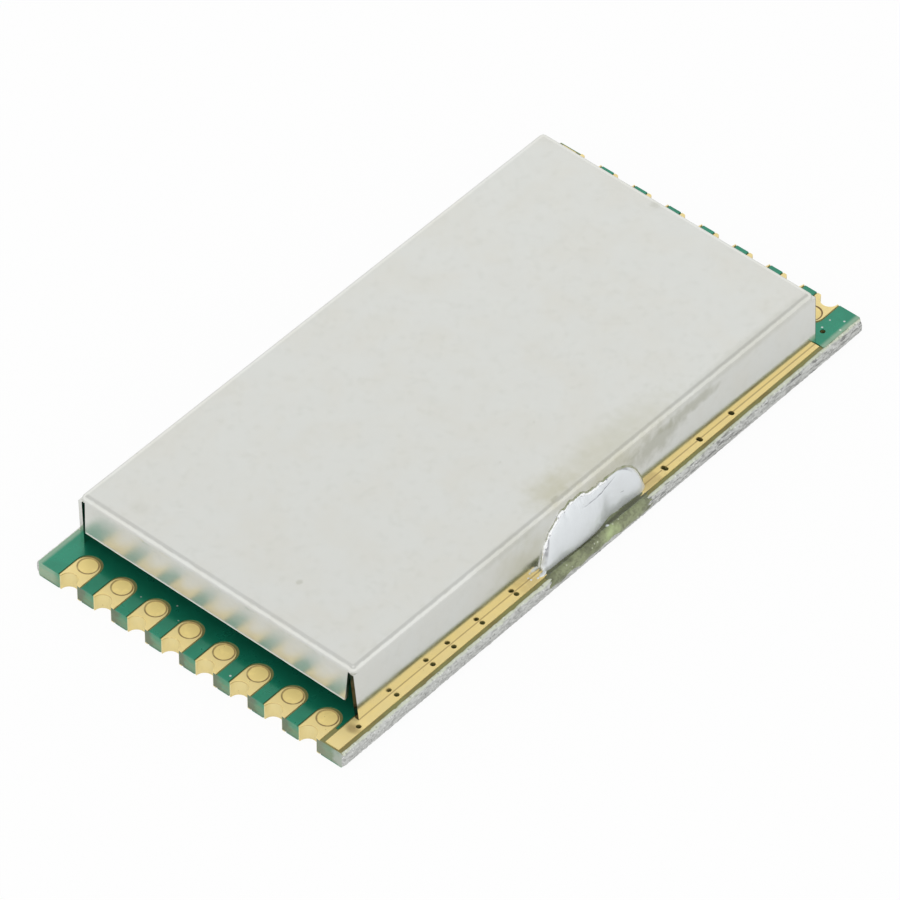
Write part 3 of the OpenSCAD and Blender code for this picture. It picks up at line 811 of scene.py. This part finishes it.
def round_edges(names, width):
    """Rounds the sharp edges of CAD nodes with a modifier."""
    for name in names:
        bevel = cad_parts[name].modifiers.new("rounded_edges", "BEVEL")
        bevel.width = width
        bevel.segments = 2
        bevel.limit_method = "ANGLE"
        bevel.angle_limit = math.radians(40.0)
        bevel.harden_normals = True


def add_object(name, data):
    """A new object in the scene."""
    made = bpy.data.objects.new(name, data)
    bpy.context.scene.collection.objects.link(made)
    return made


def add_piece(name, mesh, material, slot):
    """A new piece that rides on the module with its finish; the slot is not used."""
    mesh.materials.append(material)
    piece = add_object(name, mesh)
    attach(piece, BODY)
    return piece


def swept_mesh(name, rings):
    """A closed mesh through rings of points, in millimetres, with flat ends."""
    count, size = rings.shape[:2]
    corner = np.arange(count * size).reshape(count, size)
    turned = np.roll(corner, -1, axis=1)
    quads = np.stack([corner[:-1], turned[:-1], turned[1:], corner[1:]], axis=-1).reshape(-1, 4)
    faces = [tuple(quad) for quad in quads.tolist()]
    faces.append(tuple(reversed(corner[0].tolist())))
    faces.append(tuple(corner[-1].tolist()))
    mesh = bpy.data.meshes.new(name)
    mesh.from_pydata((rings.reshape(-1, 3) * MM).tolist(), [], faces)
    skin = bmesh.new()
    skin.from_mesh(mesh)
    bmesh.ops.recalc_face_normals(skin, faces=skin.faces)
    skin.to_mesh(mesh)
    skin.free()
    mesh.shade_smooth()
    return mesh


def field(first, second, seed, octaves=1):
    """Smooth noise between about -1 and 1 over two arrays of the same shape."""
    total = np.zeros(first.shape)
    for octave in range(octaves):
        scale = 2.0 ** octave
        places = zip((first * scale).ravel(), (second * scale).ravel())
        values = [noise.noise((a, b, seed + 7.3 * octave)) for a, b in places]
        total += np.reshape(values, first.shape) / scale
    return total


def smooth(low, high, value):
    """Smooth step from 0 at low to 1 at high."""
    share = np.clip((value - low) / (high - low), 0.0, 1.0)
    return share * share * (3.0 - 2.0 * share)


def window(value, start, full, fade, end):
    """1 between full and fade, falling smoothly to 0 at start and end."""
    return smooth(start, full, value) * smooth(end, fade, value)


def travelled(first, second):
    """Distance travelled at each point of a flat line."""
    return np.concatenate([[0.0], np.cumsum(np.hypot(np.diff(first), np.diff(second)))])


def walked(corners, samples):
    """Even samples down a bent line of (inside the edge, height) pairs: places, normals and shares."""
    inside, height = np.array(corners).T
    travel = travelled(inside, height)
    at = np.linspace(0.0, travel[-1], samples)
    places = np.stack([np.interp(at, travel, inside), np.interp(at, travel, height)])
    tangent = np.gradient(places, axis=1)
    tangent /= np.linalg.norm(tangent, axis=0)
    return places, (tangent[1], -tangent[0]), at / travel[-1]


def circle(sides):
    """Even angles round a circle."""
    return np.linspace(0.0, 2.0 * math.pi, sides, endpoint=False)


def node_points(name):
    """The points of a CAD node, in millimetres."""
    return np.array([vertex.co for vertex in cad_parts[name].data.vertices]) / MM


def placed(along, across, run, out, level):
    """Points in the module's frame from places along two flat directions and up."""
    flat = run[..., None] * along + out[..., None] * across
    return np.concatenate([flat, level[..., None]], axis=-1)


# Cut edges

def cut_edge_mesh(name, sizes, side):
    """Rough fibre skin down one scored long edge of the board; its borders sink into the board."""
    stations, samples = 1300, 28
    margin = sizes.fibre_margin / MM
    width = sizes.score_width / MM
    depth = sizes.score_depth / MM
    (inside, height), (out_inside, out_height), share = walked([
        (width + margin, BOARD_FACE), (width, BOARD_FACE), (0.0, BOARD_FACE - depth),
        (0.0, BOARD_UNDER + depth), (width, BOARD_UNDER), (width + margin, BOARD_UNDER),
    ], samples)
    end = HALF_LENGTH - 0.01
    x, q = np.meshgrid(np.linspace(-end, end, stations), share, indexing="ij")
    clumps = field(x * 0.9, q * 2.5, 3.1 + side)
    strands = field(x * 1.6, q * 16.0, 9.7 + side, octaves=2)
    chips = field(x * 8.5, q * 14.0, 21.3 + side)
    wander = q + 0.025 * field(x * 2.3, q * 3.0, 41.0 + side, octaves=3)
    border = window(wander, *FIBRE_SPAN)
    border = border * smooth(end, end - 0.08, np.abs(x) + 0.02 * strands)
    rough = 0.75 + 0.15 * clumps + 0.20 * strands + 0.40 * chips
    lift = sizes.fibre_depth / MM * (rough * border - (1.0 - border))
    y = side * (HALF_WIDTH - inside - out_inside * lift)
    return swept_mesh(name, np.stack([x, y, height + out_height * lift], axis=-1))


# Can

def can_axes(sizes):
    """Flat directions along and across the can, which sits a little turned on the board."""
    turn = sizes.can_turn
    return np.array([math.cos(turn), math.sin(turn)]), np.array([-math.sin(turn), math.cos(turn)])


class Can:
    """Lines of the folded can that its details follow, in millimetres along its own turned axes."""

    def __init__(self, sizes):
        points = node_points("shield_can")
        self.along, self.across = can_axes(sizes)
        run = points[:, :2] @ self.along
        out = points[:, :2] @ self.across
        level = points[:, 2]
        levels = np.unique(level.round(3))
        self.foot, self.hem, self.top = levels[0], levels[1], levels[-1]
        at_foot = level < self.foot + SAME_LEVEL
        at_hem = np.abs(level - self.hem) < SAME_LEVEL
        self.middle = (run[at_foot].min() + run[at_foot].max()) / 2
        self.run = run[at_foot].max() - self.middle
        self.hem_ends = out[at_hem].min(), out[at_hem].max()
        self.hem_runs = run[at_hem].min(), run[at_hem].max()
        self.side = (np.abs(self.hem_ends).max() + np.abs(out[at_foot]).min()) / 2
        on_wall = np.abs(out) > self.side + 0.1
        from_middle = np.abs(run[on_wall] - self.middle)
        widest = from_middle.argmax()
        self.taper = (from_middle[widest] - self.run) / (level[on_wall][widest] - self.foot)


def burr_mesh(name, can, sizes, run):
    """A thin uneven burr that shearing leaves along the lower edge of one end wall."""
    stations, sides, inset = 160, 8, 0.03
    across = np.linspace(can.hem_ends[0] + inset, can.hem_ends[1] - inset, stations)
    out, turn = np.meshgrid(across, circle(sides), indexing="ij")
    burr = sizes.burr / MM
    radius = burr * (1.0 + 0.25 * field(out * 1.7, np.zeros(out.shape), run, octaves=2))
    runs = run + np.sign(run - can.middle) * burr * 0.2 + radius * np.cos(turn)
    level = can.hem + burr * 0.8 + radius * np.sin(turn)
    return swept_mesh(name, placed(can.along, can.across, runs, out, level))


# Solder

class Wall:
    """The foot line of a can wall and the outline of the solid solder joint on it, in millimetres."""

    def __init__(self, node, sizes, side):
        points = node_points(node)
        along, across = can_axes(sizes)
        self.side = side
        self.along = -side * along
        self.outward = side * across
        run = points[:, :2] @ self.along
        out = points[:, :2] @ self.outward
        self.floor = points[:, 2].min()
        rise = points[:, 2] - self.floor
        on_floor = rise < 1e-3
        self.foot = out[on_floor].min()
        top = rise.argmax()
        self.lean = (self.foot - out[top]) / rise[top]
        self.stations = np.unique(run.round(2))
        near = [np.abs(run - station) < 0.02 for station in self.stations]
        self.heights = np.array([rise[pick].max() for pick in near])
        self.reaches = np.array([out[pick & on_floor].max() for pick in near]) - self.foot
        self.first, self.last = self.stations[0], self.stations[-1]
        self.middle = (self.first + self.last) / 2

    def outline(self, run):
        """Height and reach of the joint along the wall, with the corners of its outline eased."""
        kernel = np.hanning(41)
        kernel /= kernel.sum()
        pad = len(kernel) // 2
        eased = []
        for values in (self.heights, self.reaches):
            dense = np.interp(run, self.stations, values)
            eased.append(np.convolve(np.pad(dense, pad, mode="edge"), kernel, mode="valid"))
        return eased

    def world(self, run, out, rise):
        """Points in the module's frame from distances along the wall, out from its foot, and up."""
        return placed(self.along, self.outward, run, self.foot + out, self.floor + rise)


def can_walls(sizes):
    """Both soldered walls of the can."""
    return {word: Wall(f"solder_joint_{word}", sizes, side) for word, side in SIDES.items()}


def rim_lines(wall, sizes, run):
    """Share of the way along one joint, height of its ragged rim, reach of its foot, lip and raggedness."""
    zero = np.zeros(run.shape)
    height, reach = wall.outline(run)
    for place, width, swell in FOOT_SWELLS:
        reach = reach + swell * np.exp(-((run - wall.middle - place) / width) ** 2)
    share = (run - wall.first) / (wall.last - wall.first)
    lip = sizes.rim_lip / MM * window(share, *LIP_SPAN)
    ragged = sizes.rim_ragged / MM * window(share, *RAGGED_SPAN)
    calm = 0.35 * sizes.rim_ragged / MM * window(share, *CALM_SPAN)
    height = height + ragged * field(run * 3.4, zero, 4.2, octaves=3) + calm * field(run * 1.1, zero, 8.8)
    return share, np.maximum(height, 0.02), reach, lip, ragged


def rim_mesh(name, wall, sizes):
    """A lumpy bead along the left and upper rim of one joint; its finish paints it bright as a highlight.
    """
    stations, sides, thinnest = 520, 10, 0.004
    run = np.linspace(wall.first + 0.02, wall.first + BEAD_SPAN[-1] * (wall.last - wall.first), stations)
    share, height, _, lip, _ = rim_lines(wall, sizes, run)
    slope = np.gradient(height, run)
    size = np.hypot(1.0, slope)
    travel = travelled(run, height)
    lumps = np.clip(0.62 + 0.8 * field(travel * 1.7, np.zeros(stations), 33.0, octaves=3), 0.22, 1.0)
    thick = 1.0 + 0.35 * smooth(0.30, 0.12, share)
    ends = window(share, *BEAD_SPAN)
    radius = sizes.rim_bead / MM * lumps * thick * ends + thinnest
    angle = circle(sides)
    swing = radius[:, None] * np.sin(angle)
    runs = run[:, None] - swing * (slope / size)[:, None]
    rise = (height + 0.3 * lip)[:, None] + swing * (1.0 / size)[:, None]
    out = (0.55 * lip - height * wall.lean)[:, None] + 0.8 * radius[:, None] * np.cos(angle)
    return swept_mesh(name, wall.world(runs, out, rise))


def joint_mesh(name, wall, sizes):
    """One solder joint: a bulged face with a ragged thick rim on the wall and a crease across it."""
    stations, face_steps, lip_steps, bulge, sunk = 420, 52, 8, 0.75, 0.02
    run = np.linspace(wall.first, wall.last, stations)
    share, height, reach, lip, ragged = rim_lines(wall, sizes, run)
    step = np.linspace(0.0, 1.0, face_steps)
    swell_part, top_part = 2 * step * (1 - step), step ** 2
    face_out = np.outer(reach, (1 - step) ** 2 + swell_part) + np.outer(lip - height * wall.lean, top_part)
    face_rise = np.outer(height, swell_part * bulge + top_part)
    turn = np.linspace(0.0, 1.0, lip_steps + 1)[1:]
    angle = turn * math.pi / 2
    lip_out = np.outer(lip, np.cos(angle)) - (height * wall.lean)[:, None] - sunk * turn
    lip_rise = height[:, None] + 0.8 * np.outer(lip, np.sin(angle))
    out = np.concatenate([face_out, lip_out], axis=1)
    rise = np.concatenate([face_rise, lip_rise], axis=1)
    up_face = np.concatenate([step, np.ones(lip_steps)])
    runs = np.repeat(run[:, None], out.shape[1], axis=1)
    swell = 0.020 * field(runs * 0.9, rise * 1.1, 2.4) + 0.007 * field(runs * 3.0, rise * 3.0, 6.1)
    rim = smooth(0.80, 0.98, up_face) * (ragged / ragged.max())[:, None]
    lumps = 0.030 * rim * field(runs * 5.0, rise * 5.0, 12.9, octaves=2)
    along = (runs - wall.middle - CREASE_START[0]) / (CREASE_END[0] - CREASE_START[0])
    line = CREASE_START[1] + (CREASE_END[1] - CREASE_START[1]) * along
    line = line - 4.0 * CREASE_SAG * along * (1.0 - along)
    groove = np.exp(-((rise - line) / 0.03) ** 2) * window(along, *CREASE_SPAN)
    fade = window(share, *FACE_SPAN)
    out = out + (swell + lumps - sizes.crease_depth / MM * groove) * fade[:, None] * (up_face > 0.02)
    under = np.stack([np.zeros(stations), reach * 0.5], axis=1) - sunk
    return swept_mesh(name, wall.world(
        np.concatenate([runs, runs[:, :2]], axis=1),
        np.concatenate([out, under], axis=1),
        np.concatenate([rise, np.full((stations, 2), -sunk)], axis=1),
    ))


def halo_mesh(name, wall, sizes):
    """A thin dark skin on the wall that shows as a line round the solder's rim: painted shade of the gap at
    the rim, partly flux stain.
    """
    stations, steps, skin = 300, 12, 0.006
    halo = sizes.halo / MM
    run = np.linspace(wall.first - halo, wall.last + halo, stations)
    _, height, _, _, _ = rim_lines(wall, sizes, run)
    share = (run - run[0]) / (run[-1] - run[0])
    width = halo * (1.0 + 0.6 * field(run * 2.7, np.zeros(stations), 27.0, octaves=2))
    width += sizes.rim_lip / MM
    top = (height + width) * window(share, *HALO_SPAN)
    up = top[:, None] * np.linspace(0.0, 1.0, steps)
    rise = np.concatenate([up, up[:, ::-1]], axis=1)
    thickness = np.repeat([skin, -2.0 * skin], steps)
    runs = np.repeat(run[:, None], 2 * steps, axis=1)
    return swept_mesh(name, wall.world(runs, thickness - rise * wall.lean, rise))


def flux_mesh(name, wall, sizes):
    """A thin film of dried flux over the strip and the board's edge below one joint."""
    stations, samples = 260, 44
    start = wall.first - sizes.flux_lead / MM
    stop = wall.last + 0.1
    foot = HALF_WIDTH - wall.foot
    (inside, height), (out_inside, out_height), share = walked([
        (foot, wall.floor), (foot - 0.30, wall.floor), (foot - 0.42, BOARD_FACE + 0.015),
        (sizes.score_width / MM, BOARD_FACE), (0.0, BOARD_FACE - sizes.score_depth / MM),
        (0.0, BOARD_UNDER + 0.25 * (BOARD_FACE - BOARD_UNDER)),
    ], samples)
    r, q = np.meshgrid(np.linspace(start - 0.2, stop, stations), share, indexing="ij")
    wavy = 0.25 * field(q * 2.0, r * 0.8, 5.5, octaves=2)
    wavy += 0.3 * smooth(0.4, 0.6, q) * field(q * 9.0, r, 8.1, octaves=2)
    lead = r - start - 0.7 * smooth(0.24, 0.0, q) + wavy
    cover = smooth(0.0, 0.3, lead) * smooth(0.0, sizes.flux_tail / MM, stop - r + wavy)
    cover *= smooth(0.97, 0.76, q + 0.12 * field(r * 1.3, q, 17.0, octaves=2))
    film = sizes.flux_thickness / MM * (1.9 * cover - 0.9 + 0.35 * field(r * 2.0, q * 4.0, 31.0))
    lift = film + 1.6 * sizes.fibre_depth / MM * smooth(0.30, 0.42, q) * cover
    y = HALF_WIDTH - inside - out_inside * lift
    return swept_mesh(name, placed(wall.along, wall.outward, r, y, height + out_height * lift))


def spatter_mesh(name, wall, sizes):
    """The joint's tip, one ball on the flux and small beads, each one flattened and uneven."""
    draw = np.random.default_rng(SPATTER_SEED + wall.side)
    drops = [(wall.first - 0.10, 0.24, 0.11, 2.2, 0.5), (wall.middle + 0.55, 0.47, 0.10, 1.0, 0.9)]
    for _ in range(sizes.bead_count):
        size = sizes.bead_size / MM * draw.uniform(0.25, 1.0) ** 2
        run = wall.first + draw.normal(-0.25, 0.25)
        out = draw.uniform(0.01, 0.28)
        drops.append((run, out, size, draw.uniform(1.0, 2.2), 0.55))
    beads = bmesh.new()
    for run, out, size, stretch, flat in drops:
        radius = size * MM
        centre = wall.world(np.array([run]), np.array([out]), np.array([0.0]))[0] * MM
        made = bmesh.ops.create_icosphere(beads, subdivisions=3, radius=radius)
        for vertex in made["verts"]:
            vertex.co *= 1.0 + 0.22 * noise.noise(vertex.co / radius * 1.3 + Vector((run, 0.0, 0.0)))
            vertex.co.x *= stretch
            vertex.co.z *= flat
            vertex.co += Vector(centre)
    mesh = bpy.data.meshes.new(name)
    beads.to_mesh(mesh)
    beads.free()
    mesh.shade_smooth()
    return mesh


# Stage

def floor_material(stage):
    """Pale floor that shows white to the camera and in reflections, with a share of the shadow."""
    material, shade = new_material("floor")
    diffuse = shade.add("ShaderNodeBsdfDiffuse", {"Color": stage.floor_colour})
    glow = shade.add("ShaderNodeEmission", {"Color": WHITE, "Strength": 1.0})
    rays = shade.add("ShaderNodeLightPath").outputs
    seen = shade.times(rays["Is Camera Ray"], 1.0 - stage.floor_shadow)
    mirrored = shade.math("MAXIMUM", rays["Is Glossy Ray"], rays["Is Transmission Ray"])
    share = shade.plus(seen, shade.times(mirrored, 1.0 - stage.floor_dim))
    blend = shade.add("ShaderNodeMixShader", {0: share, 1: diffuse.outputs[0], 2: glow.outputs[0]})
    shade.show("ShaderNodeOutputMaterial", blend)
    return material


def build_sky(stage):
    """A soft bright sky with a dim ring round the zenith, white to the camera."""
    world = bpy.data.worlds.new("sky")
    world.use_nodes = True
    shade = Shade(world.node_tree)
    direction = shade.add("ShaderNodeTexCoord").outputs["Generated"]
    height = shade.add("ShaderNodeSeparateXYZ", {0: direction}).outputs["Z"]
    ring = shade.spread(shade.step(height, *SKY_RING), stage.sky_low, stage.sky_ring)
    rise = shade.times(shade.step(height, *SKY_ZENITH), stage.sky_zenith - stage.sky_ring)
    seen = shade.add("ShaderNodeLightPath").outputs["Is Camera Ray"]
    unseen = shade.minus(1.0, seen)
    strength = shade.plus(shade.times(shade.plus(ring, rise), unseen), seen)
    sky = shade.add("ShaderNodeBackground", {"Color": WHITE, "Strength": strength})
    shade.show("ShaderNodeOutputWorld", sky)
    bpy.context.scene.world = world


# Operators

class RADIO_OT_effects(bpy.types.Operator):
    """Build the node groups that the finishes share"""

    bl_idname = "radio.effects"
    bl_label = "Shared effects"

    def execute(self, context):
        build_mottle()
        build_specks()
        build_patch()
        return {"FINISHED"}


class RADIO_OT_board(bpy.types.Operator):
    """Finish the laminate and both skins of lacquer"""

    bl_idname = "radio.board"
    bl_label = "Board"

    def execute(self, context):
        colours = context.scene.radio_colours
        dress(["board"], laminate_finish(colours))
        dress(["solder_mask_top", "solder_mask_bottom"], mask_finish(colours))
        return {"FINISHED"}


class RADIO_OT_cut_edges(bpy.types.Operator):
    """Add the rough cut fibre along both long edges"""

    bl_idname = "radio.cut_edges"
    bl_label = "Cut edges"

    def execute(self, context):
        sizes = context.scene.radio_details
        finish = fibre_finish(context.scene.radio_colours)
        for word, side in SIDES.items():
            name = f"cut_edge_{word}"
            add_piece(name, cut_edge_mesh(name, sizes, side), finish, "laminate")
        return {"FINISHED"}


class RADIO_OT_gold(bpy.types.Operator):
    """Finish the castellated pads and the ground strips"""

    bl_idname = "radio.gold"
    bl_label = "Gold pads and strips"

    def execute(self, context):
        names = PADS + numbered("ground_strip")
        sizes = context.scene.radio_details
        dress(names, gold_finish(context.scene.radio_colours, Can(sizes), can_walls(sizes)))
        round_edges(names, sizes.plate_round)
        return {"FINISHED"}


class RADIO_OT_shield(bpy.types.Operator):
    """Finish the folded shield can"""

    bl_idname = "radio.shield"
    bl_label = "Shield can"

    def execute(self, context):
        sizes = context.scene.radio_details
        can = Can(sizes)
        tin = tinned_finish(context.scene.radio_colours, can)
        dress(["shield_can", "crystal"], tin)
        round_edges(["shield_can"], sizes.sheet_round)
        for name, run in zip(("burr_front", "burr_back"), can.hem_runs):
            add_piece(name, burr_mesh(name, can, sizes, run), tin, "tinned_sheet")
        return {"FINISHED"}


class RADIO_OT_solder(bpy.types.Operator):
    """Add the detailed solder joints, their beads and the dried flux"""

    bl_idname = "radio.solder"
    bl_label = "Solder and flux"

    def execute(self, context):
        sizes = context.scene.radio_details
        colours = context.scene.radio_colours
        walls = can_walls(sizes)
        solder = solder_finish(colours, walls["near"])
        details = {
            "solder_spatter": (spatter_mesh, solder, "solder"),
            "solder_rim": (rim_mesh, rim_finish(colours), "solder"),
            # Painted shade round each joint's rim, partly flux stain
            "rim_shade_line": (halo_mesh, halo_finish(colours), "laminate"),
            "flux_film": (flux_mesh, flux_finish(colours, walls), "laminate"),
        }
        for word, wall in walls.items():
            name = f"solder_fillet_{word}"
            piece = add_piece(name, joint_mesh(name, wall, sizes), solder, "solder")
            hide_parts(f"solder_joint_{word}")
            for stem, (build, finish, slot) in details.items():
                name = f"{stem}_{word}"
                add_piece(name, build(name, wall, sizes), finish, slot)
        return {"FINISHED"}


class RADIO_OT_parts(bpy.types.Operator):
    """Finish the parts under the can"""

    bl_idname = "radio.parts"
    bl_label = "Parts under the can"

    def execute(self, context):
        colours = context.scene.radio_colours
        packages = ["transceiver_chip", "power_amplifier", "antenna_switch", "voltage_regulator"]
        dress(packages, package_finish(colours))
        round_edges(packages, context.scene.radio_details.part_round)
        bodies = {"capacitor": colours.ceramic, "inductor": colours.coil, "resistor": colours.resistor}
        for stem, body in bodies.items():
            finishes = {axis: chip_finish(f"{stem}_body_{axis}", body, colours, axis) for axis in "XY"}
            for name in numbered(stem):
                low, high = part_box(name)
                longest = "X" if high.x - low.x > high.y - low.y else "Y"
                dress([name], finishes[longest])
        dress(["component_lands"], bpy.data.materials["solder"])
        return {"FINISHED"}


class RADIO_OT_stage(bpy.types.Operator):
    """Add the floor, the sky, the soft lamp and the camera"""

    bl_idname = "radio.stage"
    bl_label = "Stage"

    def execute(self, context):
        scene = context.scene
        stage = scene.radio_stage
        half = stage.floor_size / 2
        level = cad_box[0].z - stage.floor_gap
        corners = [(-half, -half, level), (half, -half, level), (half, half, level), (-half, half, level)]
        floor = bpy.data.meshes.new("floor")
        floor.from_pydata(corners, [], [(0, 1, 2, 3)])
        floor.materials.append(floor_material(stage))
        add_object("floor", floor)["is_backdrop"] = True
        build_sky(stage)
        light = bpy.data.lights.new("soft_lamp", "AREA")
        light.energy = stage.lamp_power
        light.size = stage.lamp_size
        lamp = add_object("soft_lamp", light)
        lamp.location = stage.lamp_place
        lamp.rotation_euler = (-lamp.location).to_track_quat("-Z", "Y").to_euler()
        lamp.visible_glossy = False
        lens = bpy.data.cameras.new("camera")
        lens.lens = stage.camera_lens
        camera = add_object("camera", lens)
        camera.location = stage.camera_place
        camera.rotation_euler = stage.camera_turn
        scene.camera = camera
        scene.view_settings.view_transform = "Standard"
        return {"FINISHED"}


class RADIO_PT_panel(bpy.types.Panel):
    """Lists the steps that dress the module"""

    bl_idname = "RADIO_PT_panel"
    bl_label = "Radio module"
    bl_space_type = "VIEW_3D"
    bl_region_type = "UI"
    bl_category = "Radio module"

    def draw(self, context):
        for step in STEPS:
            self.layout.operator(step.bl_idname)


STEPS = (
    RADIO_OT_effects, RADIO_OT_board, RADIO_OT_cut_edges, RADIO_OT_gold, RADIO_OT_shield,
    RADIO_OT_solder, RADIO_OT_parts, RADIO_OT_stage,
)
SETTINGS = {"radio_colours": FinishColours, "radio_details": DetailSizes, "radio_stage": StageSettings}


def register():
    """Adds the settings, the operators and the panel to Blender."""
    for name, group in SETTINGS.items():
        bpy.utils.register_class(group)
        setattr(bpy.types.Scene, name, PointerProperty(type=group))
    for made in (*STEPS, RADIO_PT_panel):
        bpy.utils.register_class(made)


def unregister():
    """Takes the panel, the operators and the settings out of Blender."""
    for made in (RADIO_PT_panel, *reversed(STEPS)):
        bpy.utils.unregister_class(made)
    for name, group in SETTINGS.items():
        delattr(bpy.types.Scene, name)
        bpy.utils.unregister_class(group)


def main():
    """Dresses the module."""
    register()
    for step in STEPS:
        group, name = step.bl_idname.split(".")
        getattr(getattr(bpy.ops, group), name)()
    boxes = {"cad": cad_box, "visual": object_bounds()}
    plain = {name: [list(corner) for corner in box] for name, box in boxes.items()}


if __name__ == "__main__":
    main()
